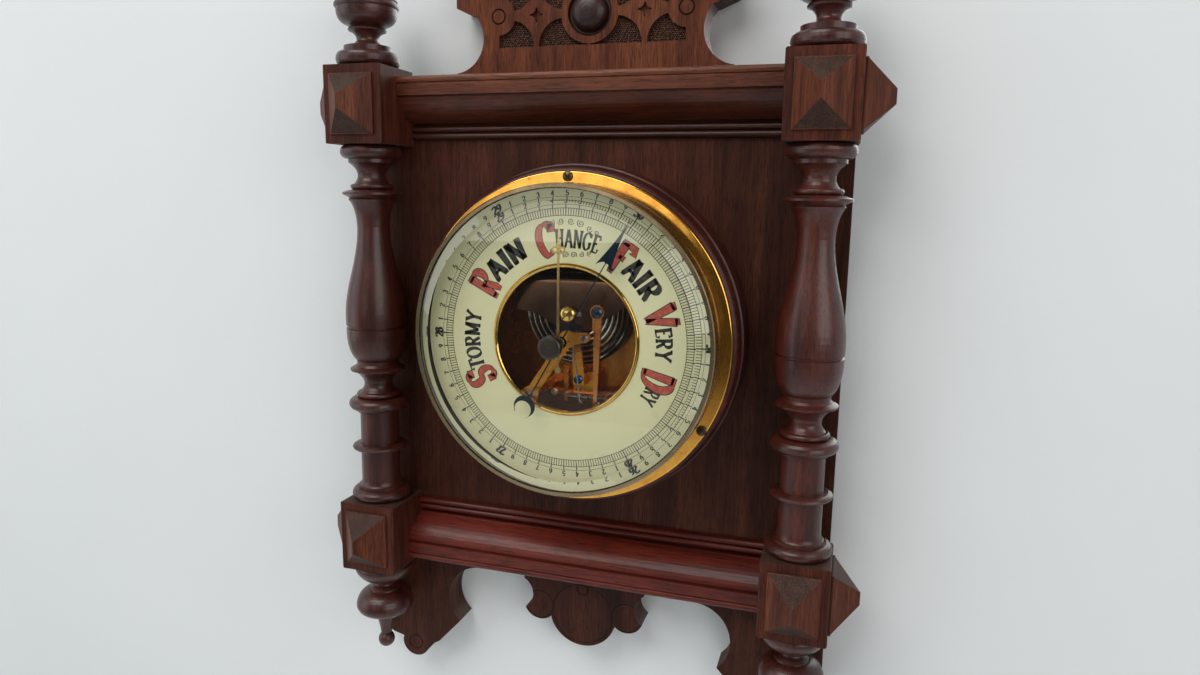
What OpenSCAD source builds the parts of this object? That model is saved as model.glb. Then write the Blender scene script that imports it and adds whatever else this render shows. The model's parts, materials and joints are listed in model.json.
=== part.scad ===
// Wall barometer: a carved wooden case with turned columns, and an aneroid movement
// that shows through the open middle of its dial.
// Millimetres. The origin is on the wall, on the dial's axis. +X is to the viewer's right,
// +Y goes into the wall, so the object stands out from the wall along -Y, and +Z is up.
// A depth named ..._out is measured from the wall towards the viewer.

/* [Case] */
// Clear width between the left and the right corner blocks
bay_w = 199.2; // [196:0.2:216]
// Thickness of the three boards behind everything
board_t = 16; // [14:0.5:22]
// How far the boards' side edges lie inside the blocks' outer faces
board_setback = 1.7; // [0:0.1:4]
// Width and depth of a corner block, and the stock that the turnings come from
block_w = 33.4; // [33:0.2:38]
// Height of a corner block
block_h = 39.4; // [39:0.2:46]
// Width of the eased edges of the blocks
block_edge = 0.7; // [0.3:0.1:1.5]
// Height of a column between its two blocks
column_len = 195.8; // [190:0.2:220]
// Height of the middle of the columns above the dial's axis
bay_mid = -2.5; // [-5:0.5:5]
// Radius of the turned tenons that join columns, finials and pendants to the blocks
tenon_r = 5; // [4:0.5:7]
// Length of a turned tenon
tenon_len = 9; // [6:0.5:12]
// Gap all round a tenon in its hole
tenon_gap = 0.05; // [0.02:0.01:0.1]

/* [Block pyramids] */
// Width of the base of a pyramid
pyramid_w = 25.3; // [20:0.1:27]
// Height of the base of a pyramid
pyramid_h = 30.5; // [28:0.1:34]
// How far a pyramid stands out from its block
pyramid_out = 14; // [8:0.5:18]
// Thickness of the flat step under a pyramid
pyramid_step = 1.2; // [0.6:0.1:2]
// Length of the ridge at the top of a pyramid
pyramid_ridge = 6.6; // [2:0.2:9]

/* [Mouldings] */
// How far the moulding's flat face stands out from the board
fascia_out = 18.4; // [16:0.2:22]
// Height of the moulding from its nosing to the end of its round
moulding_h = 22.8; // [20:0.2:26]
// Height of the flat face
fascia_h = 6.2; // [4:0.2:8]
// Height of the rounded nosing at the outer edge of the moulding
nosing_h = 3.6; // [2.5:0.1:5]
// How far the block's end stands past the moulding's nosing
block_over = 4.4; // [2:0.2:8]
// How far the round's inner edge stands out from the board
round_foot = 4.4; // [3:0.2:8]
// Height of each bead of the double bead strip
bead_h = 3.5; // [2.5:0.1:4.5]
// How far a bead stands out from the board
bead_out = 3.6; // [2.5:0.1:5]
// Flat between the moulding's round and the first bead
bead_gap = 0.8; // [0.4:0.1:2]

/* [Crest] */
// Height of the crest's bottom rail, from the moulding's top to the sunk panel
crest_rail = 14.9; // [12:0.1:18]
// Width of the sunk panel
panel_w = 98; // [94:0.5:102]
// Height of the sunk panel
panel_h = 31; // [29:0.2:34]
// Depth of the sunk ground behind the tracery
panel_sink = 3; // [1.5:0.1:5]
// Height of the crest's top rail
crest_top_rail = 12; // [10:0.5:16]
// Radius of the arcs that bound the tracery
tracery_r = 13.4; // [12:0.1:13.8]
// Width of the tracery's stems
tracery_stem = 2.5; // [1.5:0.1:4]
// Radius of the raised ring round the boss
crest_ring_r = 15; // [13.5:0.1:17]
// Radius of the well in that ring
crest_well_r = 11.4; // [10.5:0.1:12.5]
// Radius of the turned boss
boss_r = 9.6; // [8:0.1:10.3]
// How far the boss stands out from the front of the crest
boss_out = 5; // [3:0.5:8]
// Radius of the raised discs at the panel's ends
disc_r = 9.3; // [8:0.1:10.5]
// Half width of the crest at its ears
ear_x = 73; // [72:0.2:78]
// Radius of the hollow cut below each ear
hollow_r = 17.2; // [16:0.1:18.5]

/* [Lobes] */
// Radius of the middle lobe of the apron and of the crest
lobe_r = 19.4; // [17:0.1:22]
// Radius of the two lobes beside it
side_lobe_r = 9.6; // [8.5:0.1:10.5]
// Distance of a side lobe from the middle line
side_lobe_x = 25.6; // [24:0.1:28]

/* [Apron] */
// Height of the middle lobe's centre below the columns' middle
apron_drop = 159.5; // [158:0.5:164]
// Radius of the arc that hollows the bracket's inner edge
bracket_hollow_r = 20.6; // [19:0.1:22]
// Radius of the bulge below it
bracket_bulge_r = 12.4; // [11:0.1:13]
// Radius of the bracket's end lobe
bracket_lobe_r = 8.7; // [7.5:0.1:9.5]

/* [Dial case] */
// How far the turned wooden surround shows round the brass flange
surround_w = 3.6; // [3:0.1:6]
// How far the surround stands out from the board
surround_out = 28; // [26:0.5:32]
// Width of the brass flange round the pan
flange_w = 7; // [6.4:0.1:9]
// Thickness of the brass flange
flange_t = 2.3; // [1.5:0.1:3]
// Thickness of the pan's wall and back
pan_wall = 0.8; // [0.6:0.1:1]
// Wood left behind the pan
web_t = 8; // [6:0.5:10]
// Number of flange screws
flange_screws_n = 3; // [2:1:6]

/* [Glass] */
// Radius of the glass
glass_r = 75; // [72:0.5:77]
// Thickness of the glass at its middle
glass_t = 4.5; // [3.5:0.1:6]
// Thickness of the glass at its rim
glass_rim_t = 1.5; // [1.2:0.1:2]
// Width of the bevel on the glass
bevel_w = 6.1; // [5:0.1:8]
// Depth of the room for the hands between dial and glass
hand_room = 11.3; // [10.6:0.1:13]

/* [Dial] */
// Thickness of the dial
dial_t = 0.8; // [0.6:0.1:1.2]
// How far the dial's face stands out from the front of the surround
dial_out = 3.2; // [3:0.1:4]
// Radius of the opening in the dial
opening_r = 37; // [34:0.5:39]
// Width of the brass ring round the opening
opening_ring_w = 1.2; // [0.8:0.1:2]

/* [Movement] */
// Thickness of the base plate
plate_t = 2; // [1.5:0.1:3]
// Gap between the pan's back and the base plate
plate_lift = 1.7; // [1.5:0.1:2]
// Radius of the corrugated vacuum capsule
capsule_r = 29; // [27:0.5:29.5]
// Thickness of the capsule between its two faces
capsule_t = 8; // [7:0.2:8.6]
// Height of the capsule's middle above the dial's axis
capsule_z = 12; // [11:0.5:13]
// Sideways offset of the capsule's middle, below zero to the left
capsule_x = -1.5; // [-2:0.1:1]
// Number of corrugations on each face
corrugations = 8; // [3:1:9]
// Depth of a corrugation
corrugation_d = 0.9; // [0.6:0.1:1.2]
// Thickness of the steel leaf of the mainspring
leaf_t = 1.2; // [1:0.1:1.5]
// Half width of the mainspring
leaf_half_w = 31; // [28:0.5:33]
// Radius of the mainspring's bend, on the outside
leaf_bend_r = 4.8; // [4.4:0.1:5]
// Height of the mainspring's bend above the dial's axis, to its outside
leaf_top = 32.3; // [31.5:0.1:34]
// Radius of the chain drum on the hand arbor
drum_r = 1.2; // [1:0.05:1.3]
// Length of the rocking arbor's arm that pulls the chain
pull_arm = 10.5; // [10:0.1:11]
// Length of the rocking arbor's arm that the link drives
drive_arm = 3; // [2.8:0.1:3.4]
// Height of the rocking arbor below the dial's axis
rocker_drop = 32.5; // [32:0.5:34]
// Turns of the hairspring
hairspring_turns = 5.5; // [3.5:1:6.5]
// Outer radius of the hairspring
hairspring_r = 8; // [7.6:0.1:8.4]
// Gap all round a pivot in its hole
pivot_gap = 0.05; // [0.02:0.01:0.08]

/* [Hands] */
// Reading of the pressure hand: angle clockwise from the top of the dial
reading = 29.5; // [0:0.5:60]
// Length of the pressure hand from its pivot to its tip
hand_len = 66.3; // [64:0.1:68]
// Length of its tail, from the pivot to the crescent's middle
tail_len = 38.6; // [37:0.1:42]
// Radius of the crescent
crescent_r = 5.6; // [4.5:0.1:6.5]
// Length of the set hand
set_hand_len = 57; // [54:0.5:62]
// Thickness of both hands
hand_t = 0.45; // [0.4:0.05:0.6]
// Radius of the set hand's knob
knob_r = 5.6; // [4.5:0.1:7]
// Height of the knob above the glass
knob_h = 9; // [7:0.5:11]

/* [Hanging] */
// Radius of the hole in the hanging plate
hanger_r = 4; // [3:0.1:4.5]
// Height of that hole above the dial's axis
hanger_z = 190; // [186:0.5:192]
// Thickness of the hanging plate
hanger_t = 2; // [1.5:0.1:2.5]

/* [Hidden] */
$fn = 64;

wood = [0.42, 0.22, 0.13];
dark_wood = [0.30, 0.12, 0.08];
brass = [0.80, 0.62, 0.28];
copper = [0.72, 0.42, 0.22];
silvered = [0.78, 0.77, 0.74];
dark_steel = [0.23, 0.19, 0.18];
steel = [0.62, 0.63, 0.66];
blued_steel = [0.10, 0.17, 0.33];
enamel = [0.89, 0.87, 0.74];
clear_glass = [0.80, 0.88, 0.88, 0.35];

seat_gap = 0.1;       // gap between turned metal pieces that sit one inside the other
hair = 0.02;          // overlap of solids that are joined into one piece
over = 1;             // how far a cutting shape runs past the piece that it cuts

// Heights along Z
column_top = bay_mid + column_len / 2;
column_foot = bay_mid - column_len / 2;
block_top = column_top + block_h;
block_foot = column_foot - block_h;
moulding_top = block_top - block_over;
seam = column_top + block_h - block_over - moulding_h + 10;   // joint of two boards, from bay_mid
seam_rise = seam - bay_mid;
column_x = bay_w / 2 + block_w / 2;
column_out = board_t + block_w / 2;
block_front = board_t + block_w;
board_half = bay_w / 2 + block_w - board_setback;

// Crest
panel_foot = moulding_top + crest_rail;
panel_mid = panel_foot + panel_h / 2;
crest_top = panel_foot + panel_h + crest_top_rail;
tracery_near = crest_ring_r - tracery_stem / 2 - 0.05;      // middle of the arcs beside the ring
tracery_far = tracery_near + 2 * tracery_r + tracery_stem;  // middle of the arcs beside the discs
star_x = (tracery_near + tracery_far) / 2;
disc_x = panel_w / 2 + 0.2;
hollow_x = ear_x + 2;
hollow_z = moulding_top + hollow_r + 2.9;
ear_notch = hollow_r * 0.64;
ear_h = 10;
boss_peg_r = 3;
boss_peg_len = 5;
boss_foot = 1.2;

// Apron
lobe_z = bay_mid - apron_drop;
apron_head = block_foot - 3.2;

// Depths towards the viewer
surround_front = board_t + surround_out;
flange_front = surround_front + flange_t;
dial_front = surround_front + dial_out;
dial_back = dial_front - dial_t;
glass_back = dial_front + hand_room;
glass_rim_front = glass_back + glass_rim_t;
glass_front = glass_back + glass_t;
pan_back = web_t + 0.5;
pan_floor = pan_back + pan_wall;
plate_back = pan_floor + plate_lift;
plate_front = plate_back + plate_t;
capsule_back = plate_front + 3;
capsule_front = capsule_back + capsule_t;
leaf_back = plate_front + 22;
leaf_front = leaf_back + leaf_t;
spring_arm_out = leaf_front - 2 * leaf_bend_r;
spring_screw_x = 14;
spring_screw_z = 22.5;
spring_bar_t = 2;
spring_bar_h = 9;
spring_leg_w = 4.5;
post_gap = 0.6;
adjuster_reach = 5;
lever_t = 1.4;
socket_t = 1.9;
socket_len = 8.9;
lever_back = leaf_front;
lever_front = lever_back + lever_t;
rocker_out = plate_front + 16.5;
pull_out = rocker_out + pull_arm;
cock_back = plate_front + 16.4;
cock_t = 1.6;
hairspring_out = leaf_front + 0.8;
bridge_t = 2;
bridge_back = pull_out + 2.2;
bridge_front = bridge_back + bridge_t;
hand_out = dial_front + 6;
set_hand_out = glass_back - 1.1;

// Pan, bezel and surround, all from the radius of the glass
pan_r = glass_r + 0.4;
flange_r = pan_r + flange_w;
surround_r = flange_r + surround_w;
dial_r = glass_r - 0.8;
plate_r = pan_r - 5.4;
surround_bore_r = pan_r + 1.6;
recess_r = pan_r + 1;
bezel_bore_r = pan_r + seat_gap;
bezel_wall = 0.9;
bezel_r = bezel_bore_r + bezel_wall;
bezel_foot = 0.4;
flange_screw_r = (bezel_r + bezel_foot + flange_r) / 2;
pan_front = glass_back - 1.2;
lip_w = 0.7;
lip_t = 0.7;

// Movement in plan, as the dial shows it
lever_x = 13.5;
lever_head_z = 13.4;
pull_x = 6.8;
rocker_left = -5.5;
rocker_right = 17.6;
rocker_z = -rocker_drop;
drive_z = rocker_z - drive_arm;
drive_x = lever_x - 0.6;
bridge_foot_x = -20;
bridge_foot_z = -30;
bridge_screw_len = 5;
regulator_x = 9;
regulator_z = 1.3;
frame_screw_x = 17.2;
frame_screw_z = -34.4;
cock_screw_x = 1.8;
cock_screw_z = -23.4;
chain_x = drum_r + 0.35;
chain_pin_z = rocker_z;
stud_r = 2.4;
stud_hole_r = 3.1;
screw_slot = 0.8;
arbor_r = 1.1;
arbor_pivot_r = 0.6;
hanger_plate_w = 20;
hanger_plate_h = 34;
curve_steps = 8;

// Points along a quadratic curve from a to b that leans towards c
function bow(a, c, b, n = curve_steps) =
    [for (i = [0:n]) let (t = i / n) a * (1 - t) * (1 - t) + c * 2 * t * (1 - t) + b * t * t];

// Points along a half round that starts at radius r and height z, w wide and h high
function bead(r, z, w, h, n = curve_steps) =
    [for (i = [0:n]) let (a = 180 * i / n) [r + w * sin(a), z + h * (1 - cos(a)) / 2]];

// Points along a smooth S from radius ra at height za to radius rb at height zb
function ogee(ra, za, rb, zb, n = 2 * curve_steps) =
    [for (i = [0:n]) let (t = i / n) [ra + (rb - ra) * (1 - cos(180 * t)) / 2, za + (zb - za) * t]];

// Places flat work at a depth: its own Z points at the viewer, its own Y points up
module facing(depth) {
    translate([0, -depth, 0])
        rotate([90, 0, 0])
            children();
}

// Runs a profile, drawn as [depth from the wall, height], along X over the width w
module run_along(w) {
    translate([w / 2, 0, 0])
        rotate([90, 0, -90])
            linear_extrude(w)
                children();
}

module both_sides() {
    children();
    mirror([1, 0, 0])
        children();
}

// Round-headed screw with a slot, its shank pointing into the wall
module slotted_screw(head_r, head_t, shank_r, shank_len, turn = 0) {
    difference() {
        union() {
            intersection() {
                cylinder(r = head_r, h = head_t);
                translate([0, 0, head_t - head_r * 1.6])
                    sphere(r = head_r * 1.6);
            }
            translate([0, 0, -shank_len])
                cylinder(r = shank_r, h = shank_len + hair);
        }
        rotate([0, 0, turn])
            translate([-head_r - over, -screw_slot / 2, head_t * 0.5])
                cube([2 * (head_r + over), screw_slot, head_t]);
    }
}

// Boards

module back_board() {
    color(wood)
        difference() {
            facing(0)
                translate([-board_half, bay_mid - seam_rise, 0])
                    linear_extrude(board_t)
                        square([2 * board_half, 2 * seam_rise]);
            facing(web_t)
                cylinder(r = recess_r, h = board_t);
            facing(-over)
                translate([capsule_x, capsule_z, 0])
                    cylinder(r = 4, h = web_t + 2 * over);
        }
}

// A middle lobe between two small ones, whose middles lie side_rise above its own
module lobes(z, side_rise) {
    translate([0, z])
        circle(r = lobe_r);
    for (s = [-1, 1])
        translate([s * side_lobe_x, z + side_rise])
            circle(r = side_lobe_r);
}

module ear_outline() {
    notch_z = hollow_z + hollow_r * 0.657;
    polygon([
        [hollow_x - hollow_r * 0.785, notch_z],
        [ear_x - ear_h, notch_z],
        [ear_x, notch_z + 4.2],
        [ear_x, notch_z + ear_h + 4.2],
        [hollow_x - hollow_r, notch_z + ear_h + 4.2]
    ]);
}

module crest_outline() {
    ear_top = hollow_z + hollow_r * 0.657 + ear_h + 4.2;
    difference() {
        union() {
            translate([-ear_x, moulding_top - over])
                square([2 * ear_x, ear_top - moulding_top + over]);
            translate([-ear_x + crest_top - ear_top, ear_top - over])
                square([2 * (ear_x - crest_top + ear_top), crest_top - ear_top + over]);
            for (s = [-1, 1])
                translate([s * (ear_x - crest_top + ear_top), ear_top])
                    circle(r = crest_top - ear_top);
        }
        for (s = [-1, 1])
            translate([s * hollow_x, hollow_z])
                circle(r = hollow_r);
    }
    lobes(crest_top, -2.2);
}

// The sunk ground of the crest's panel: arcs, less the raised ring and discs
module crest_ground() {
    difference() {
        intersection() {
            translate([-panel_w / 2, panel_foot])
                square([panel_w, panel_h]);
            union()
                for (x = [-tracery_far, -tracery_near, tracery_near, tracery_far])
                    for (z = [panel_foot, panel_foot + panel_h])
                        translate([x, z])
                            circle(r = tracery_r);
        }
        translate([0, panel_mid])
            circle(r = crest_ring_r);
        for (s = [-1, 1])
            translate([s * disc_x, panel_mid])
                circle(r = disc_r);
    }
}

// Small sunk star with hollow sides
module hollow_star(half) {
    difference() {
        square(2 * half, center = true);
        for (x = [-half, half])
            for (y = [-half, half])
                translate([x, y])
                    circle(r = half * 0.88);
    }
}

module crest_board() {
    ring_cut = 0.8;
    color(wood)
        difference() {
            facing(0) {
                linear_extrude(board_t)
                    crest_outline();
                both_sides()
                    linear_extrude(board_t)
                        ear_outline();
                translate([-board_half, bay_mid + seam_rise, 0])
                    linear_extrude(board_t)
                        square([2 * board_half, moulding_top - bay_mid - seam_rise]);
            }
            facing(board_t - panel_sink)
                linear_extrude(panel_sink + over)
                    crest_ground();
            facing(board_t - panel_sink)
                translate([0, panel_mid, 0])
                    cylinder(r = crest_well_r, h = panel_sink + over);
            facing(board_t - panel_sink - boss_peg_len - 0.5)
                translate([0, panel_mid, 0])
                    cylinder(r = boss_peg_r + tenon_gap, h = boss_peg_len + over);
            for (s = [-1, 1])
                facing(board_t - panel_sink * 0.7) {
                    translate([s * star_x, panel_mid, 0])
                        linear_extrude(panel_sink + over)
                            hollow_star(3.4);
                    translate([s * disc_x, panel_mid, panel_sink * 0.7 - ring_cut])
                        linear_extrude(ring_cut + over)
                            difference() {
                                circle(r = 3.9);
                                circle(r = 3.3);
                            }
                }
            hanger_recess();
        }
}

// Room for the hanging plate, and a pocket for the head of the screw in the wall
module hanger_recess() {
    facing(-over)
        translate([-hanger_plate_w / 2, hanger_z + hanger_r + 6 - hanger_plate_h, 0])
            linear_extrude(over + hanger_t)
                square([hanger_plate_w, hanger_plate_h]);
    facing(-over)
        translate([0, hanger_z, 0])
            cylinder(r = hanger_r + 2.5, h = over + hanger_t + 6);
}

module bracket_outline() {
    bulge_x = bay_w / 2 - 10.1;
    end_x = bay_w / 2 + 6.9;
    difference() {
        union() {
            polygon([
                [bay_w / 2 - 36.8, block_foot - 25.2],
                [bulge_x - 9, block_foot - 44.6],
                [end_x - 16, block_foot - 55.6],
                [end_x - 11.5, block_foot - 58.4],
                [end_x - 7.2, block_foot - 63.5],
                [end_x, block_foot - 59],
                [end_x + 8, block_foot - 56.4],
                [end_x + 15, block_foot - 54.8],
                [board_half, block_foot - 48.6],
                [board_half, apron_head + 3],
                [bay_w / 2 - 36.8, apron_head + 3]
            ]);
            translate([bulge_x, block_foot - 35.7])
                circle(r = bracket_bulge_r);
            translate([end_x, block_foot - 59.1])
                circle(r = bracket_lobe_r);
        }
        translate([bay_w / 2 - 36.8, block_foot - 25.2])
            circle(r = bracket_hollow_r);
    }
}

module middle_drop() {
    hollow = 10.2;
    difference() {
        union() {
            lobes(lobe_z, 2.2);
            translate([-side_lobe_x - side_lobe_r, lobe_z + 1])
                square([2 * (side_lobe_x + side_lobe_r), apron_head + 3 - lobe_z - 1]);
            translate([-side_lobe_x - side_lobe_r - 2.4, apron_head])
                square([2 * (side_lobe_x + side_lobe_r + 2.4), 3]);
        }
        for (s = [-1, 1])
            translate([s * (side_lobe_x + side_lobe_r + 4.9), lobe_z + 7])
                circle(r = hollow);
    }
}

module apron_board() {
    ring_cut = 0.7;
    color(wood)
        difference() {
            facing(0) {
                linear_extrude(board_t)
                    translate([-board_half, apron_head])
                        square([2 * board_half, bay_mid - seam_rise - apron_head]);
                linear_extrude(board_t)
                    middle_drop();
                both_sides()
                    linear_extrude(board_t)
                        bracket_outline();
            }
            facing(board_t - ring_cut)
                linear_extrude(ring_cut + over)
                    for (p = [[0, lobe_z + 14.5, 3.4], [-bay_w / 2 - 6.9, block_foot - 59, 4.6],
                              [bay_w / 2 + 6.9, block_foot - 59, 4.6]])
                        translate([p[0], p[1]])
                            difference() {
                                circle(r = p[2]);
                                circle(r = p[2] - 0.6);
                            }
        }
}

module crest_boss() {
    color(dark_wood)
        facing(board_t - panel_sink)
            translate([0, panel_mid, 0])
                rotate_extrude()
                    polygon(concat(
                        [[0, -boss_peg_len], [boss_peg_r, -boss_peg_len], [boss_peg_r, 0]],
                        [[boss_r + 1, 0], [boss_r + 1, boss_foot], [boss_r, boss_foot]],
                        bow([boss_r, boss_foot + 0.4], [boss_r - 0.6, panel_sink + boss_out],
                            [0, panel_sink + boss_out])
                    ));
}

// Mouldings, drawn for the top and mirrored for the bottom

module moulding_profile() {
    front = board_t + fascia_out;
    foot = moulding_top - moulding_h;
    fascia_top = moulding_top - nosing_h;
    fascia_foot = fascia_top - fascia_h;
    polygon(concat(
        [[board_t, foot], [board_t + round_foot - 1, foot], [board_t + round_foot, foot + 0.6]],
        bow([board_t + round_foot + 0.6, foot + 0.6], [front - 3, foot + 5],
            [front - 1.6, fascia_foot - 0.9]),
        [[front - 2.4, fascia_foot - 0.9], [front - 2.4, fascia_foot], [front, fascia_foot]],
        [[front, fascia_top - 0.5], [front - 0.8, fascia_top - 0.5], [front - 0.8, fascia_top]],
        [for (a = [-90:22.5:90]) [front - 1.5 + 1.5 * cos(a), fascia_top + (1 + sin(a)) * nosing_h / 2]],
        [[board_t, moulding_top]]
    ));
}

module bead_profile() {
    top = moulding_top - moulding_h - bead_gap;
    polygon(concat(
        [[board_t, top], [board_t + 1.2, top]],
        [for (i = [0:2 * curve_steps]) let (k = i / curve_steps, a = 180 * (k - floor(k)))
            [board_t + 1 + (bead_out - 1) * sin(a), top - 0.4 - bead_h * (floor(k) + (1 - cos(a)) / 2)]],
        [[board_t + 1.2, top - 0.8 - 2 * bead_h], [board_t, top - 0.8 - 2 * bead_h]]
    ));
}

module to_bottom() {
    translate([0, 0, 2 * bay_mid])
        mirror([0, 0, 1])
            children();
}

module top_moulding() {
    color(wood)
        run_along(bay_w)
            moulding_profile();
}

module bottom_moulding() {
    color(dark_wood)
        to_bottom()
            run_along(bay_w)
                moulding_profile();
}

module top_bead_strip() {
    color(wood)
        run_along(bay_w)
            bead_profile();
}

module bottom_bead_strip() {
    color(dark_wood)
        to_bottom()
            run_along(bay_w)
                bead_profile();
}

// Corner blocks

module eased_rect(w, h) {
    c = block_edge;
    polygon([[c, 0], [w - c, 0], [w, c], [w, h - c], [w - c, h], [c, h], [0, h - c], [0, c]]);
}

module corner_block(side, foot) {
    x0 = column_x - block_w / 2;
    color(wood)
        mirror([side < 0 ? 1 : 0, 0, 0])
            difference() {
                intersection() {
                    translate([x0, -block_front, foot])
                        linear_extrude(block_h)
                            eased_rect(block_w, block_w);
                    facing(board_t)
                        translate([x0, foot, 0])
                            linear_extrude(block_w)
                                eased_rect(block_w, block_h);
                }
                for (z = [foot - over, foot + block_h - tenon_len - 0.5])
                    translate([column_x, -column_out, z])
                        cylinder(r = tenon_r + tenon_gap, h = tenon_len + 0.5 + over);
            }
}

module top_left_block() {
    corner_block(-1, column_top);
}

module top_right_block() {
    corner_block(1, column_top);
}

module bottom_left_block() {
    corner_block(-1, block_foot);
}

module bottom_right_block() {
    corner_block(1, block_foot);
}

// A pyramid that rises to a short upright ridge, standing on a thin step
module pyramid() {
    rise = pyramid_out - pyramid_step;
    shelf = 0.5;
    linear_extrude(pyramid_step + hair)
        square([pyramid_w, pyramid_h], center = true);
    translate([0, 0, pyramid_step])
        intersection() {
            translate([0, pyramid_h / 2, 0])
                rotate([90, 0, 0])
                    linear_extrude(pyramid_h)
                        polygon([[-pyramid_w / 2 + shelf, 0], [pyramid_w / 2 - shelf, 0], [0, rise]]);
            translate([-pyramid_w / 2, 0, 0])
                rotate([90, 0, 90])
                    linear_extrude(pyramid_w)
                        polygon([
                            [-pyramid_h / 2 + shelf, 0], [pyramid_h / 2 - shelf, 0],
                            [pyramid_ridge / 2, rise], [-pyramid_ridge / 2, rise]
                        ]);
        }
}

module front_pyramids() {
    color(dark_wood)
        for (s = [-1, 1])
            for (z = [column_top + block_h / 2, column_foot - block_h / 2])
                facing(block_front)
                    translate([s * column_x, z, 0])
                        pyramid();
}

module side_pyramids() {
    color(dark_wood)
        both_sides()
            for (z = [column_top + block_h / 2, column_foot - block_h / 2])
                translate([bay_w / 2 + block_w, -column_out, z])
                    rotate([90, 0, 90])
                        pyramid();
}

// Turned columns, finials and pendants

module column_profile() {
    h = column_len;
    neck = h - 43;        // the collar and everything above it keep their heights from the top
    polygon(concat(
        [[0, -tenon_len], [tenon_r, -tenon_len], [tenon_r, 0]],
        bead(13.2, 0, 3, 6.4), [[12.6, 6.4], [12.6, 7.8]],
        bow([12, 7.8], [10.6, 8.6], [10.6, 12.2]),
        [[10.6, 28.6]], bead(11.2, 28.6, 3.9, 3.6), [[10.5, 32.2], [10.4, 50.2]],
        [[11.8, 50.6], [11.8, 51.8]], bead(12.2, 51.8, 4, 7),
        bead(10.2, 58.8, 1.7, 3.2), bow([9.8, 62], [4.8, 67], [11.2, 72.6]),
        [[12, 73.2], [14.7, 74.2], [14.8, 75.2], [12.2, 76.6], [11.2, 77.8], [11.3, 79.6]],
        bow([11.4, 79.8], [16.2, 84.6], [16.1, 97.8]),
        [[15.4, 98.2], [15.4, 99.1], [16.2, 99.5]],
        ogee(16.3, 103.4, 8.6, neck, 2 * curve_steps),
        bow([8.7, neck + 1.2], [9, h - 33], [12.4, h - 28.8]),
        [[12.6, h - 28.4], [12, h - 27.8], [12.6, h - 27.2], [15.6, h - 25.8], [15.6, h - 24.8],
            [11.8, h - 23.4]],
        bead(9.9, h - 23.2, 1.4, 3), bow([9.4, h - 20.2], [4.4, h - 14.6], [11.6, h - 9.4]),
        [[12, h - 9.2], [12, h - 7.4]], bead(12.8, h - 7.2, 3.3, 7.2),
        [[tenon_r, h], [tenon_r, h + tenon_len], [0, h + tenon_len]]
    ));
}

module finial_profile() {
    polygon(concat(
        [[0, -tenon_len], [tenon_r, -tenon_len], [tenon_r, 0], [14, 0]],
        bead(14.2, 0.6, 2.2, 7), [[12.2, 8], [12.2, 10.6]],
        bow([10.4, 11], [4.2, 12.2], [5.9, 15.6]),
        bow([6.2, 16], [7, 17.6], [9.6, 18.4]), [[9.9, 19.2], [9.4, 19.9], [8.4, 20.3]],
        bow([8.2, 20.8], [16, 21.6], [15.6, 29.4]),
        bead(15.6, 29.4, 0.9, 2.8), [[15.2, 32.4], [15.2, 33.2]],
        bow([15.8, 33.4], [15.6, 42], [7.4, 45.2]),
        bow([6.6, 45.4], [4, 46], [3.8, 49]), bead(3.8, 49, 2.4, 2.2),
        bow([3.4, 51.2], [6.8, 54.2], [3.2, 58.6], curve_steps), bow([3.2, 58.6], [1.6, 60.6], [0, 61.6])
    ));
}

// Drawn hanging: heights run down from the block
module pendant_profile() {
    mirror([0, 1])
        polygon(concat(
            [[0, -tenon_len], [tenon_r, -tenon_len], [tenon_r, 0]],
            bow([15.2, 0], [17.2, 1.4], [16.2, 4], 4), bow([16.2, 4], [14, 9.6], [7, 11.6]),
            [[6.2, 12.2]], bow([5.7, 12.6], [5.4, 13.4], [6.2, 14.2], 4),
            [[7.4, 15], [8.6, 16], [8.8, 16.8]], bow([9.4, 16.8], [15.2, 18.6], [16.3, 25]),
            bow([16.3, 25], [16.6, 28.4], [13.4, 30.2]), [[8, 31.6], [6.4, 32]],
            bow([6.2, 32.2], [3.9, 37.6], [3.1, 44.6]),
            [for (a = [-54:14:86]) [4.7 * cos(a), 49.3 + 4.7 * sin(a)]], [[0, 54]]
        ));
}

module at_column(side, z) {
    translate([side * column_x, -column_out, z])
        rotate_extrude()
            children();
}

module left_column() {
    color(dark_wood)
        at_column(-1, column_foot)
            column_profile();
}

module right_column() {
    color(dark_wood)
        at_column(1, column_foot)
            column_profile();
}

module left_finial() {
    color(dark_wood)
        at_column(-1, block_top)
            finial_profile();
}

module right_finial() {
    color(dark_wood)
        at_column(1, block_top)
            finial_profile();
}

module left_pendant() {
    color(dark_wood)
        at_column(-1, block_foot)
            pendant_profile();
}

module right_pendant() {
    color(dark_wood)
        at_column(1, block_foot)
            pendant_profile();
}

// Turned wooden ring that holds the brass case away from the board
module dial_surround() {
    h = surround_out;
    color(wood)
        facing(board_t)
            rotate_extrude()
                polygon(concat(
                    [[surround_bore_r, 0], [surround_r, 0], [surround_r, h - 8], [surround_r - 0.8, h - 7.6]],
                    bow([surround_r - 0.8, h - 7], [surround_r - 0.8, h], [surround_r - 4.6, h]),
                    [[surround_bore_r, h]]
                ));
}

// Brass case, bezel and glass

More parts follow.
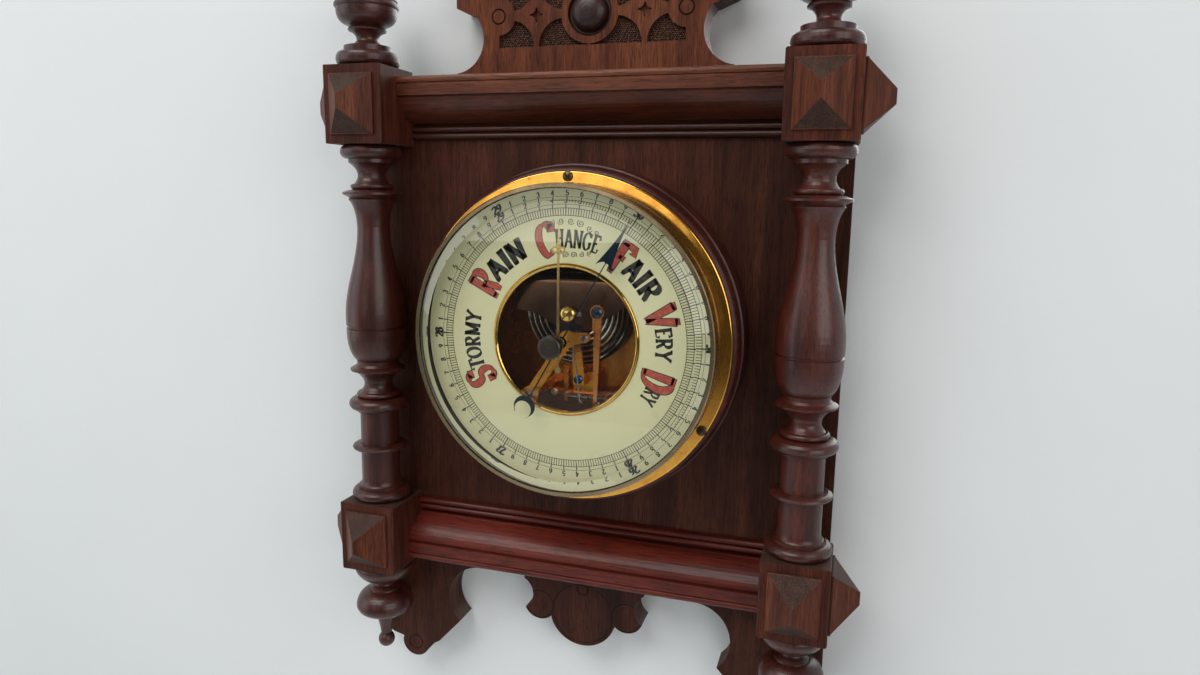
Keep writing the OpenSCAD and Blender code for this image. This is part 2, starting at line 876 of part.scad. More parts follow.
module brass_case() {
    access_r = 3;
    color(brass)
        difference() {
            facing(pan_back)
                rotate_extrude()
                    polygon(concat(
                        [[0, 0], [pan_r, 0], [pan_r, surround_front - pan_back]],
                        [[flange_r - 0.4, surround_front - pan_back]],
                        bow([flange_r, surround_front - pan_back + 0.4],
                            [flange_r, flange_front - pan_back], [flange_r - 1, flange_front - pan_back]),
                        [[pan_r, flange_front - pan_back], [pan_r, pan_front - pan_back]],
                        [[pan_r - pan_wall, pan_front - pan_back], [pan_r - pan_wall, pan_wall], [0, pan_wall]]
                    ));
            facing(pan_back - over)
                translate([capsule_x, capsule_z, 0])
                    cylinder(r = access_r, h = pan_wall + 2 * over);
            for (i = [0:flange_screws_n - 1])
                facing(surround_front - over)
                    rotate([0, 0, 90 - i * 360 / flange_screws_n])
                        translate([flange_screw_r, 0, 0])
                            cylinder(r = 1.5, h = flange_t + 2 * over);
        }
}

module flange_screws() {
    color(brass)
        for (i = [0:flange_screws_n - 1])
            facing(flange_front)
                rotate([0, 0, 90 - i * 360 / flange_screws_n])
                    translate([flange_screw_r, 0, 0])
                        slotted_screw(2.5, 1.5, 1.4, flange_t, 40 + 35 * i);
}

module glass_bezel() {
    h = glass_rim_front + lip_t - flange_front;
    shelf = glass_back - flange_front;
    color(brass)
        facing(flange_front)
            rotate_extrude()
                polygon([
                    [bezel_bore_r, 0], [bezel_r + bezel_foot, 0], [bezel_r + bezel_foot, 1.6],
                    [bezel_r, 2.2],
                    [bezel_r, h - 0.5], [bezel_r - 0.5, h], [glass_r - lip_w, h],
                    [glass_r - lip_w, h - lip_t], [glass_r + seat_gap, h - lip_t],
                    [glass_r + seat_gap, shelf], [glass_r - 1.4, shelf], [glass_r - 1.4, shelf - 1],
                    [bezel_bore_r, shelf - 1]
                ]);
}

knob_arbor_r = 1.5;
glass_bore_r = knob_arbor_r + pivot_gap;

module glass() {
    color(clear_glass)
        facing(glass_back)
            difference() {
                rotate_extrude()
                    polygon([
                        [0, 0], [glass_r, 0], [glass_r, glass_rim_t], [glass_r - lip_w - 0.2, glass_rim_t],
                        [glass_r - lip_w - 0.2 - bevel_w, glass_t], [0, glass_t]
                    ]);
                translate([0, 0, -over])
                    cylinder(r = glass_bore_r, h = glass_t + 2 * over);
            }
}

// Dial

module dial() {
    color(enamel)
        facing(dial_back)
            difference() {
                cylinder(r = dial_r, h = dial_t);
                translate([0, 0, -over])
                    cylinder(r = opening_r, h = dial_t + 2 * over);
            }
}

module dial_opening_ring() {
    color(brass)
        facing(dial_back)
            rotate_extrude()
                polygon(concat(
                    [[opening_r - 1, -0.8], [opening_r - seat_gap, -0.8], [opening_r - seat_gap, dial_t]],
                    bow([opening_r + opening_ring_w, dial_t], [opening_r + 0.2, dial_t + 1.6],
                        [opening_r - 1, dial_t + 0.4])
                ));
}

module dial_feet() {
    color(brass)
        for (a = [90, 210, 330])
            facing(plate_front)
                rotate([0, 0, a])
                    translate([plate_r - 5, 0, 0]) {
                        cylinder(r = 2, h = dial_back - plate_front);
                        cylinder(r = 3.2, h = 2);
                    }
}

// Movement

module base_plate() {
    color(brass)
        facing(plate_back)
            difference() {
                cylinder(r = plate_r, h = plate_t);
                translate([capsule_x, capsule_z, -over])
                    cylinder(r = 1.5 + pivot_gap, h = plate_t + 2 * over);
            }
}

module base_plate_feet() {
    color(brass)
        for (a = [30, 150, 270])
            facing(pan_floor)
                rotate([0, 0, a])
                    translate([plate_r - 8, 0, 0])
                        cylinder(r = 4, h = plate_lift);
}

// Two corrugated faces on a flat rim, with a hub in front and a post behind
module capsule() {
    hub_r = 5;
    rim = capsule_r - 1.6;
    step = (rim - hub_r) / corrugations;
    half = capsule_t / 2;
    post = capsule_back - plate_front - post_gap;
    wave = [for (i = [0:6 * corrugations]) let (a = 60 * i)
        [hub_r + step * i / 6, half - corrugation_d * (1 - cos(a)) / 2]];
    color(silvered)
        facing(capsule_back + half)
            translate([capsule_x, capsule_z, 0])
                difference() {
                    rotate_extrude()
                        polygon(concat(
                            [[0, -half - post], [4, -half - post], [4, -half]],
                            [for (p = wave) [p[0], -p[1]]],
                            [[rim, -0.7], [capsule_r, -0.7], [capsule_r, 0.7], [rim, 0.7]],
                            [for (i = [len(wave) - 1:-1:0]) wave[i]],
                            [[hub_r, half + 0.8], [0, half + 0.8]]
                        ));
                    translate([0, 0, -half - post - over])
                        cylinder(r = 1.5 + pivot_gap, h = over + adjuster_reach);
                }
}

// Brass stud on the capsule's hub; its head carries the knife edge in front of the leaf
module capsule_stud() {
    head_r = 4.1;
    head_h = 3.6;
    foot = capsule_front + 0.8;
    color(brass)
        facing(foot)
            translate([capsule_x, capsule_z, 0])
                difference() {
                    rotate_extrude()
                        polygon(concat(
                            [[0, 0], [3.6, 0], [3.6, 1.6], [stud_r, 1.8]],
                            [[stud_r, leaf_front + 1.4 - foot], [head_r, leaf_front + 1.4 - foot]],
                            bow([head_r, leaf_front + 3 - foot], [head_r, leaf_front + 1.4 + head_h - foot],
                                [0, leaf_front + 1.4 + head_h - foot])
                        ));
                    rotate([0, 0, 45])
                        translate([-head_r - over, -0.5, leaf_front + head_h - foot])
                            cube([2 * (head_r + over), 1, head_h]);
                }
}

// Steel bar with one sharp edge, between the stud's head and the leaf
module knife_edge() {
    half = 6.5;
    color(steel)
        for (s = [-1, 1])
            translate([capsule_x + s * (stud_r + 0.05), 0, capsule_z])
                rotate([0, s * 90, 0])
                    linear_extrude(half - stud_r)
                        polygon([
                            [-1.1, -leaf_front - 1.35], [1.1, -leaf_front - 1.35], [0, -leaf_front - 0.05]
                        ]);
}

// The leaf seen from the side, as [depth, height]: two arms joined by a round bend
module leaf_side() {
    inner = leaf_bend_r - leaf_t;
    mid = leaf_front - leaf_bend_r;
    bend_z = leaf_top - leaf_bend_r;
    foot_z = spring_screw_z - spring_bar_h / 2 + 0.3;
    difference() {
        union() {
            translate([mid, bend_z])
                circle(r = leaf_bend_r);
            translate([leaf_back, -10])
                square([leaf_t, bend_z + 10]);
            translate([spring_arm_out, foot_z])
                square([leaf_t, bend_z - foot_z]);
        }
        translate([mid, bend_z])
            circle(r = inner);
        translate([spring_arm_out + leaf_t, -20])
            square([2 * inner, bend_z + 20]);
    }
}

// The leaf seen from the front: broad above, with a tongue over the capsule's middle
module leaf_front_view() {
    w = leaf_half_w;
    difference() {
        union() {
            polygon([
                [-w, 13], [-24, 12], [-17, 10], [-10, 6], [-6, 3.4], [6, 3.4], [11, 4], [17, 9.5],
                [24, 14.4], [28, 16.5], [w, 20], [w, leaf_top + over], [-w, leaf_top + over]
            ]);
            translate([capsule_x, capsule_z])
                circle(r = 9);
        }
        translate([capsule_x, capsule_z])
            circle(r = stud_hole_r);
    }
}

module mainspring() {
    color(dark_steel)
        difference() {
            intersection() {
                run_along(2 * leaf_half_w)
                    leaf_side();
                facing(0)
                    linear_extrude(leaf_front + over)
                        leaf_front_view();
            }
            for (x = [-spring_screw_x, spring_screw_x])
                facing(spring_arm_out - over)
                    translate([x, spring_screw_z, 0])
                        cylinder(r = 1.45, h = leaf_t + 2 * over);
            facing(leaf_back - over)
                translate([lever_x, lever_head_z, 0])
                    cylinder(r = 1.25, h = leaf_t + 2 * over);
        }
}

// Brass bridge over the capsule, with a leg on each side, that the leaf's rear arm is screwed to
module spring_bridge() {
    half = capsule_r + 0.5;
    low = spring_screw_z - spring_bar_h / 2;
    bar_back = spring_arm_out - spring_bar_t;
    color(brass)
        difference() {
            union() {
                facing(bar_back)
                    translate([capsule_x - half - spring_leg_w, low, 0])
                        cube([2 * (half + spring_leg_w), spring_bar_h, spring_bar_t]);
                for (s = [-1, 1])
                    facing(plate_front)
                        translate([capsule_x + s * (half + spring_leg_w / 2), low + spring_bar_h / 2, 0])
                            translate([-spring_leg_w / 2, -spring_bar_h / 2, 0])
                                cube([spring_leg_w, spring_bar_h, bar_back - plate_front + hair]);
            }
            for (x = [-spring_screw_x, spring_screw_x])
                facing(bar_back - over)
                    translate([x, spring_screw_z, 0])
                        cylinder(r = 1.45, h = spring_bar_t + 2 * over);
        }
}

module spring_screws() {
    color(blued_steel)
        for (x = [-spring_screw_x, spring_screw_x])
            facing(spring_arm_out + leaf_t)
                translate([x, spring_screw_z, 0])
                    slotted_screw(2.6, 1.6, 1.4, leaf_t + spring_bar_t, 20);
}

module adjusting_screw() {
    color(steel)
        difference() {
            facing(plate_back - 1.6) {
                translate([capsule_x, capsule_z, 0])
                    cylinder(r = 2.4, h = 1.5);
                translate([capsule_x, capsule_z, 0])
                    cylinder(r = 1.5, h = 1.6 + plate_t + adjuster_reach);
            }
            facing(plate_back - 1.6 - over)
                translate([capsule_x - 3, capsule_z - 0.4, 0])
                    cube([6, 0.8, over + 0.8]);
        }
}

// Copper-coloured lever that the leaf carries: a thicker socket above, an eye at its lower end
module main_lever() {
    end_z = drive_z;
    socket_foot = lever_head_z - socket_len;
    color(copper)
        facing(lever_back)
            difference() {
                union() {
                    linear_extrude(lever_t)
                        union() {
                            polygon([
                                [drive_x - 0.9, end_z], [drive_x + 0.9, end_z],
                                [lever_x + 1.9, socket_foot], [lever_x + 1.9, lever_head_z],
                                [lever_x - 1.9, lever_head_z], [lever_x - 1.9, socket_foot]
                            ]);
                            translate([drive_x, end_z])
                                circle(r = 1.5);
                        }
                    linear_extrude(socket_t)
                        union() {
                            translate([lever_x - 2.3, socket_foot])
                                square([4.6, socket_len]);
                            translate([lever_x, lever_head_z])
                                circle(r = 3.6);
                        }
                }
                translate([drive_x, end_z, -over])
                    cylinder(r = 0.6, h = lever_t + 2 * over);
                translate([lever_x, lever_head_z, -over])
                    cylinder(r = 1.25, h = socket_t + 2 * over);
            }
}

module lever_screw() {
    color(blued_steel)
        facing(lever_back + socket_t)
            translate([lever_x, lever_head_z, 0])
                slotted_screw(3, 1.7, 1.2, socket_t + leaf_t, -30);
}

// Link from the lever's eye back to the rocking arbor's driven arm
module connecting_link() {
    eye_r = 1.7;
    color(steel) {
        facing(rocker_out + 1.2)
            translate([drive_x, drive_z, 0])
                cylinder(r = 0.55, h = lever_front + 0.8 - rocker_out - 1.2);
        facing(lever_front)
            translate([drive_x, drive_z, 0])
                cylinder(r = 1.1, h = 0.8);
        difference() {
            translate([drive_x - 0.6, -rocker_out, drive_z])
                rotate([0, 90, 0])
                    cylinder(r = eye_r, h = 1.2);
            translate([drive_x - 0.6 - over, -rocker_out, drive_z])
                rotate([0, 90, 0])
                    cylinder(r = 0.95, h = 1.2 + 2 * over);
        }
    }
}

// Steel arbor that turns the lever's push into the chain's pull
module rocking_arbor() {
    pin_r = 0.5;
    color(steel) {
        translate([rocker_left - 1, -rocker_out, rocker_z])
            rotate([0, 90, 0])
                cylinder(r = 0.7, h = rocker_right - rocker_left + 2);
        translate([rocker_left + 1.6, -rocker_out, rocker_z])
            rotate([0, 90, 0])
                cylinder(r = 1.2, h = rocker_right - rocker_left - 3.2);
        facing(rocker_out)
            translate([pull_x, rocker_z, 0])
                cylinder(r = 0.6, h = pull_arm + 0.6);
        translate([drive_x - 1.9, -rocker_out, rocker_z - drive_arm - 0.8])
            translate([0, -0.7, 0])
                cube([0.9, 1.4, drive_arm + 0.8]);
        translate([drive_x + 1, -rocker_out, rocker_z - drive_arm - 0.8])
            translate([0, -0.7, 0])
                cube([0.9, 1.4, drive_arm + 0.8]);
        translate([drive_x - 1.5, -rocker_out, drive_z])
            rotate([0, 90, 0])
                cylinder(r = pin_r, h = 3);
    }
}

// Brass frame on the base plate: a rail with an ear at each end of the rocking arbor,
// an upright on the left, a post for the cock and a foot with two lugs
module rocker_frame() {
    deck = rocker_out - 3.4;
    rail_z = rocker_z - 2.4;
    color(brass)
        difference() {
            union() {
                facing(plate_front)
                    linear_extrude(deck - 2 - plate_front + hair)
                        translate([-3, rocker_z - 1.5])
                            square([12, 14]);
                facing(plate_front)
                    linear_extrude(2)
                        union() {
                            translate([-frame_screw_x, frame_screw_z - 1.5])
                                square([2 * frame_screw_x, 2.5]);
                            for (s = [-1, 1])
                                translate([s * frame_screw_x, frame_screw_z])
                                    circle(r = 2.15);
                        }
                facing(deck - 2)
                    translate([rocker_left, rail_z, 0])
                        cube([rocker_right - rocker_left, 3.6, 2]);
                facing(deck - 2)
                    translate([rocker_left - 2.4, rail_z, 0])
                        cube([2.6, 18, 2]);
                for (x = [rocker_left, rocker_right - 1.5])
                    facing(deck - 2)
                        translate([x, rocker_z - 2, 0])
                            cube([1.5, 4, rocker_out + 2 - deck + 2]);
                facing(deck - 2)
                    translate([cock_screw_x - 3.2, cock_screw_z - 2.6, 0])
                        cube([6.4, 6.2, cock_back - deck + 2]);
            }
            translate([rocker_left - 3, -rocker_out, rocker_z])
                rotate([0, 90, 0])
                    cylinder(r = 0.7 + pivot_gap, h = rocker_right - rocker_left + 6);
            translate([cock_screw_x, -cock_back, cock_screw_z + 0.4])
                rotate([90, 0, 0])
                    translate([0, 0, -3.2])
                        cylinder(r = 1.05, h = 4);
            for (s = [-1, 1])
                facing(plate_front - over)
                    translate([s * frame_screw_x, frame_screw_z, 0])
                        cylinder(r = 1, h = 2 + 2 * over);
        }
}

module frame_screws() {
    color(brass)
        for (s = [-1, 1])
            facing(plate_front + 2)
                translate([s * frame_screw_x, frame_screw_z, 0])
                    slotted_screw(2, 1.2, 0.95, 2, 30 * s);
}

// Brass bar from the frame to the middle, with the hand arbor's rear bearing
module arbor_cock() {
    color(brass)
        facing(cock_back)
            difference() {
                linear_extrude(cock_t)
                    union() {
                        translate([cock_screw_x - 3, cock_screw_z - 2.4])
                            square([6, 6]);
                        polygon([
                            [cock_screw_x - 3, cock_screw_z + 3], [cock_screw_x + 3, cock_screw_z + 3],
                            [2.4, 0], [-2.4, 0]
                        ]);
                        circle(r = 3.2);
                    }
                translate([0, 0, -over])
                    cylinder(r = arbor_pivot_r + pivot_gap, h = cock_t + 2 * over);
                translate([cock_screw_x, cock_screw_z + 0.4, -over])
                    cylinder(r = 1.05, h = cock_t + 2 * over);
            }
}

module cock_screw() {
    color(blued_steel)
        facing(cock_back + cock_t)
            translate([cock_screw_x, cock_screw_z + 0.4, 0])
                slotted_screw(2.3, 1.6, 1, cock_t + 3, 60);
}

// Brass bridge in front: a foot on the base plate and a bar across to the middle
module arbor_bridge() {
    bar = 2.9;
    reach = norm([bridge_foot_x, bridge_foot_z]);
    lean = atan2(bridge_foot_z, bridge_foot_x);
    color(brass)
        difference() {
            union() {
                facing(bridge_back)
                    linear_extrude(bridge_t)
                        union() {
                            rotate([0, 0, lean])
                                translate([0, -bar])
                                    square([reach, 2 * bar]);
                            translate([bridge_foot_x, bridge_foot_z])
                                circle(r = 4.6);
                            circle(r = 4.4);
                            translate([regulator_x, regulator_z])
                                circle(r = 2.6);
                            polygon([[0, -3.4], [regulator_x, regulator_z - 2.4],
                                     [regulator_x, regulator_z + 2.4], [0, 3.6]]);
                        }
                facing(plate_front)
                    translate([bridge_foot_x, bridge_foot_z, 0])
                        cylinder(r = 2.8, h = bridge_back - plate_front + hair);
            }
            facing(bridge_back - over)
                cylinder(r = arbor_r + pivot_gap, h = bridge_t + 2 * over);
            facing(bridge_front - bridge_screw_len)
                translate([bridge_foot_x, bridge_foot_z, 0])
                    cylinder(r = 1.25, h = bridge_screw_len + over);
            facing(bridge_back - over)
                translate([regulator_x, regulator_z, 0])
                    cylinder(r = 0.95, h = bridge_t + 2 * over);
        }
}

module bridge_screws() {
    color(blued_steel)
        facing(bridge_front) {
            translate([bridge_foot_x, bridge_foot_z, 0])
                slotted_screw(2.8, 0.8, 1.2, bridge_screw_len - 0.2, 15);
            translate([regulator_x, regulator_z, 0])
                slotted_screw(1.8, 0.9, 0.9, bridge_t - 0.1, 80);
        }
}

// Pin under the bridge that holds the hairspring's outer end
module hairspring_stud() {
    a = 15;
    color(brass)
        facing(hairspring_out - 0.9)
            translate([(hairspring_r + 1) * cos(a), (hairspring_r + 1) * sin(a), 0])
                cylinder(r = 0.8, h = bridge_back - hairspring_out + 0.9);
}

module hand_arbor() {
    tip = hand_out + 1.6;
    color(steel)
        facing(0)
            rotate_extrude()
                polygon([
                    [0, cock_back - 0.6], [arbor_pivot_r, cock_back - 0.6],
                    [arbor_pivot_r, cock_back + cock_t + 0.3], [1.8, cock_back + cock_t + 0.3],
                    [1.8, hairspring_out + 0.7], [arbor_r, hairspring_out + 0.7],
                    [arbor_r, pull_out - 1.5], [2.2, pull_out - 1.5], [2.2, pull_out - 1.1],
                    [drum_r, pull_out - 0.9], [drum_r, pull_out + 0.9], [2.2, pull_out + 1.1],
                    [2.2, pull_out + 1.5], [arbor_r, pull_out + 1.5], [arbor_r, hand_out - 1.6],
                    [0.9, hand_out - 1.4], [0.8, tip], [0, tip]
                ]);
}

// Hairspring: one flat spiral tube, drawn as rings of six points along the spiral
hairspring_in = 2.05;
hairspring_wire = 0.22;
hairspring_rings = round(24 * hairspring_turns);

function spiral_r(i) = hairspring_in + (hairspring_r - hairspring_in) * i / hairspring_rings;
function spiral_a(i) = 15 - 360 * hairspring_turns * (1 - i / hairspring_rings);
function spiral_point(i, k) =
    let (r = spiral_r(i) + hairspring_wire * cos(60 * k), a = spiral_a(i))
    [r * cos(a), r * sin(a), 2 * hairspring_wire * sin(60 * k)];

hairspring_points = [for (i = [0:hairspring_rings]) for (k = [0:5]) spiral_point(i, k)];
hairspring_faces = concat(
    [for (i = [0:hairspring_rings - 1]) for (k = [0:5]) [6 * i + k, 6 * i + (k + 1) % 6, 6 * i + 6 + (k + 1) % 6]],
    [for (i = [0:hairspring_rings - 1]) for (k = [0:5]) [6 * i + k, 6 * i + 6 + (k + 1) % 6, 6 * i + 6 + k]],
    [for (k = [1:4]) [0, k + 1, k]],
    [for (k = [1:4]) [6 * hairspring_rings, 6 * hairspring_rings + k, 6 * hairspring_rings + k + 1]]
);
hairspring_gap = (hairspring_r - hairspring_in) / hairspring_turns - 2 * hairspring_wire;
echo(str("least gap between the hairspring's turns, mm: ", hairspring_gap));

module hairspring() {
    color(blued_steel)
        facing(hairspring_out)
            polyhedron(points = hairspring_points, faces = hairspring_faces);
}

// Fine chain from the drum down to the rocking arbor's arm
chain_dx = pull_x - 1 - chain_x;
chain_len = norm([chain_dx, chain_pin_z]);

module chain() {
    links = 20;
    pitch = chain_len / links;
    color(steel)
        facing(pull_out)
            translate([chain_x, 0, 0])
                rotate([0, 0, atan2(chain_pin_z, chain_dx)])
                    for (i = [0:links - 1])
                        translate([pitch * i, 0, i % 2 == 0 ? -0.3 : -0.15])
                            translate([0, -0.3, 0])
                                cube([pitch + hair, 0.6, i % 2 == 0 ? 0.6 : 0.3]);
}

// Hands

module crescent() {
    difference() {
        circle(r = crescent_r);
        translate([0, -crescent_r * 0.32])
            circle(r = crescent_r * 0.8);
    }
}

module pressure_hand() {
    head = hand_len * 0.68;
    color(blued_steel)
        facing(hand_out)
            rotate([0, 0, -reading])
                difference() {
                    union() {
                        linear_extrude(hand_t)
                            union() {
                                polygon(concat(
                                    [[0.5, -tail_len + crescent_r - 0.6], [0.8, 0], [0.45, head - 1]],
                                    bow([0.6, head - 1], [2, head - 0.2], [4.2, head - 3.4], 4),
                                    bow([4, head - 2.8], [1, head + 6], [0.18, hand_len]),
                                    bow([-0.18, hand_len], [-1, head + 6], [-4, head - 2.8]),
                                    bow([-4.2, head - 3.4], [-2, head - 0.2], [-0.6, head - 1], 4),
                                    [[-0.45, head - 1], [-0.8, 0], [-0.5, -tail_len + crescent_r - 0.6]]
                                ));
                                translate([0, -tail_len])
                                    crescent();
                                circle(r = 3.2);
                            }
                        cylinder(r = 2, h = hand_t + 0.8);
                        translate([0, 0, -0.8])
                            cylinder(r = 1.6, h = 0.8 + hair);
                    }
                    translate([0, 0, -2])
                        cylinder(r = 0.95, h = 6);
                }
}

// Brass collet that holds the pressure hand on the end of its arbor
module hand_collet() {
    low = hand_out + hand_t + 0.8;
    high = set_hand_out - hand_t - 0.75;
    color(brass)
        facing(0)
            rotate_extrude()
                polygon([
                    [0.9, low], [2.3, low], [2.3, high - 0.4], [1.9, high], [0, high],
                    [0, low + 0.5], [0.9, low + 0.5]
                ]);
}

module set_hand() {
    fleur = set_hand_len * 0.79;
    color(brass)
        facing(set_hand_out - hand_t)
            linear_extrude(hand_t)
                union() {
                    polygon([
                        [0.75, 0], [0.5, fleur - 2], [0.5, fleur + 3], [0.12, set_hand_len],
                        [-0.12, set_hand_len], [-0.5, fleur + 3], [-0.5, fleur - 2], [-0.75, 0]
                    ]);
                    for (s = [-1, 1])
                        translate([s * 1.7, fleur])
                            difference() {
                                circle(r = 1.7);
                                circle(r = 0.9);
                            }
                    translate([0, fleur + 2.2])
                        circle(r = 1.2);
                    translate([0, -13])
                        circle(r = 1.6);
                    translate([-0.5, -13])
                        square([1, 13]);
                    circle(r = 3);
                }
}

module set_hand_knob() {
    head = glass_front + knob_h;
    foot = glass_front + 0.15;
    color(brass)
        facing(0)
            rotate_extrude()
                polygon(concat(
                    [[0, set_hand_out], [2.6, set_hand_out], [2.6, glass_back - 0.15]],
                    [[knob_arbor_r, glass_back - 0.15], [knob_arbor_r, foot]],
                    [[3.4, foot], [3.4, foot + 0.8]], bow([2.6, foot + 1.2], [1.6, foot + 3], [2.8, foot + 4]),
                    [[knob_r - 0.5, foot + 4.2], [knob_r, foot + 4.7], [knob_r, head - 0.9]],
                    [[knob_r - 0.5, head - 0.4], [knob_r - 1.4, head - 0.2], [0, head]]
                ));
}

// Hanging plate in the back of the crest

module hanging_plate() {
    low = hanger_z + hanger_r + 6 - hanger_plate_h;
    color(brass)
        facing(0)
            difference() {
                translate([-hanger_plate_w / 2 + seat_gap, low + seat_gap, 0])
                    linear_extrude(hanger_t)
                        square([hanger_plate_w - 2 * seat_gap, hanger_plate_h - 2 * seat_gap]);
                translate([0, hanger_z, -over])
                    cylinder(r = hanger_r, h = hanger_t + 2 * over);
            }
}

module hanging_screws() {
    low = hanger_z + hanger_r + 6 - hanger_plate_h;
    color(brass)
        for (z = [low + 4.5, low + 13.5])
            translate([0, 0, z])
                rotate([-90, 0, 0])
                    cylinder(r = 2.6, h = 0.6);
}

back_board();
crest_board();
apron_board();
crest_boss();
top_moulding();
bottom_moulding();
top_bead_strip();
bottom_bead_strip();
top_left_block();
top_right_block();
bottom_left_block();
bottom_right_block();
front_pyramids();
side_pyramids();
left_column();
right_column();
left_finial();
right_finial();
left_pendant();
right_pendant();
dial_surround();
brass_case();
flange_screws();
glass_bezel();
glass();
dial();
dial_opening_ring();
dial_feet();
base_plate();
base_plate_feet();
capsule();
capsule_stud();
knife_edge();
mainspring();
spring_bridge();
spring_screws();
adjusting_screw();
main_lever();
lever_screw();
connecting_link();
rocking_arbor();
rocker_frame();
frame_screws();
arbor_cock();
cock_screw();
arbor_bridge();
bridge_screws();
hairspring_stud();
hand_arbor();
hairspring();
chain();
pressure_hand();
hand_collet();
set_hand();
set_hand_knob();
hanging_plate();
hanging_screws();
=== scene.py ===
# Dresses the wall barometer: woods, brass, blued steel, enamel, glass, the printed dial and the carving
import bpy
import bmesh
import json
import math
import random
from mathutils import Matrix, Vector

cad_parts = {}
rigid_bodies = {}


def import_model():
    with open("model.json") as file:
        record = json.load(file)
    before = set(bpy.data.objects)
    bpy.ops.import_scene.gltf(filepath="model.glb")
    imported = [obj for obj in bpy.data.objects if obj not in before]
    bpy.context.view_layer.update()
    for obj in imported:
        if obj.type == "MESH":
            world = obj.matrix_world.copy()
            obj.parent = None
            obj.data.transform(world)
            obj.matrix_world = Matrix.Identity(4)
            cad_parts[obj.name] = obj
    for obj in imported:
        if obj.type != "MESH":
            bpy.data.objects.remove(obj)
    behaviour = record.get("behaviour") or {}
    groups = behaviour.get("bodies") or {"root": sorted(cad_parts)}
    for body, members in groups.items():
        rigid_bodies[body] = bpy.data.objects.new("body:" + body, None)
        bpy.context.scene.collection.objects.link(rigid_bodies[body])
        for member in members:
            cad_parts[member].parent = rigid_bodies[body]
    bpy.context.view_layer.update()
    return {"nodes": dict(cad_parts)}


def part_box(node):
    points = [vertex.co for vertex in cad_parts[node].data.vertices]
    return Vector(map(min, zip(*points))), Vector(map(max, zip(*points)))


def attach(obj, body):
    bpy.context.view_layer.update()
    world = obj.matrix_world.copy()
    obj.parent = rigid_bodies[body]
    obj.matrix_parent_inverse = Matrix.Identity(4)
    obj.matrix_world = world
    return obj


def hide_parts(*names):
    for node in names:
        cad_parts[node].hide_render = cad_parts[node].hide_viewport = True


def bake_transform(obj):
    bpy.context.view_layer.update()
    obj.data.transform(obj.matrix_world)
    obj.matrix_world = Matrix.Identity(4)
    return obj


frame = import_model()
cad = frame["nodes"]
mm = 0.001
print("barometer: frame loaded,", len(cad), "nodes")


# small helpers for node trees

def startFinish(name):
    finish = bpy.data.materials.new(name)
    finish.use_nodes = True
    return finish, finish.node_tree, finish.node_tree.nodes["Principled BSDF"]


def setSockets(node, values):               # values that are the same all over the surface
    for socket, value in values.items():
        node.inputs[socket].default_value = value


def addNode(tree, kind, sockets=None, **settings):
    made = tree.nodes.new(kind)
    for key, value in settings.items():
        setattr(made, key, value)
    setSockets(made, sockets or {})
    return made


def feed(tree, socket, value):              # a number or a colour is set, anything else is linked
    if isinstance(value, (int, float)):
        socket.default_value = value
    elif isinstance(value, tuple):
        socket.default_value = (*value, 1)
    else:
        tree.links.new(value, socket)


def addRamp(tree, source, stops):
    ramp = addNode(tree, "ShaderNodeValToRGB")
    while len(ramp.color_ramp.elements) < len(stops):
        ramp.color_ramp.elements.new(0.5)
    for mark, (place, colour) in zip(ramp.color_ramp.elements, stops):
        mark.position = place
        mark.color = (*colour, 1)
    tree.links.new(source, ramp.inputs["Fac"])
    return ramp.outputs["Color"]


def addRange(tree, source, low, high, toLow, toHigh):
    remap = addNode(tree, "ShaderNodeMapRange",
                    {"From Min": low, "From Max": high, "To Min": toLow, "To Max": toHigh})
    tree.links.new(source, remap.inputs["Value"])
    return remap.outputs["Result"]


def addMaths(tree, kind, *values):
    sums = addNode(tree, "ShaderNodeMath", operation=kind)
    for socket, value in zip(sums.inputs, values):
        feed(tree, socket, value)
    return sums.outputs[0]


def mixColours(tree, amount, a, b, kind="MIX"):
    mix = addNode(tree, "ShaderNodeMix", data_type="RGBA", blend_type=kind)
    colours = [s for s in mix.inputs if s.type == "RGBA"]
    for socket, value in zip([mix.inputs[0], *colours], (amount, a, b)):
        feed(tree, socket, value)
    return [s for s in mix.outputs if s.type == "RGBA"][0]


def addBump(tree, shader, height, strength, distance, before=None):
    bump = addNode(tree, "ShaderNodeBump", {"Strength": strength, "Distance": distance})
    tree.links.new(height, bump.inputs["Height"])
    if before is not None:
        tree.links.new(before, bump.inputs["Normal"])
    if shader is not None:
        tree.links.new(bump.outputs["Normal"], shader.inputs["Normal"])
    return bump.outputs["Normal"]


def placeFrom(tree, stretch=(1, 1, 1), shift=(0, 0, 0)):
    coords = addNode(tree, "ShaderNodeTexCoord")
    mapping = addNode(tree, "ShaderNodeMapping", {"Scale": stretch, "Location": shift})
    tree.links.new(coords.outputs["Object"], mapping.inputs["Vector"])
    return mapping.outputs["Vector"]


def axesOf(tree, vector):
    split = addNode(tree, "ShaderNodeSeparateXYZ")
    tree.links.new(vector, split.inputs[0])
    return split.outputs


def facing(tree):                           # which way the surface looks, axis by axis
    return axesOf(tree, addNode(tree, "ShaderNodeTexCoord").outputs["Normal"])


def noiseAt(tree, place, scale, detail=4, rough=0.5, twist=0.0):
    noise = addNode(tree, "ShaderNodeTexNoise",
                    {"Scale": scale, "Detail": detail, "Roughness": rough, "Distortion": twist})
    tree.links.new(place, noise.inputs["Vector"])
    return noise.outputs["Fac"]


def ringsAlong(tree, reach, scale):         # fine rings that a turning tool leaves
    rings = addNode(tree, "ShaderNodeTexNoise", {"Scale": scale, "Detail": 3.0}, noise_dimensions="1D")
    tree.links.new(reach, rings.inputs["W"])
    return rings.outputs["Fac"]


def darker(tone, share):
    return tuple(c * share for c in tone)


# small helpers for new pieces

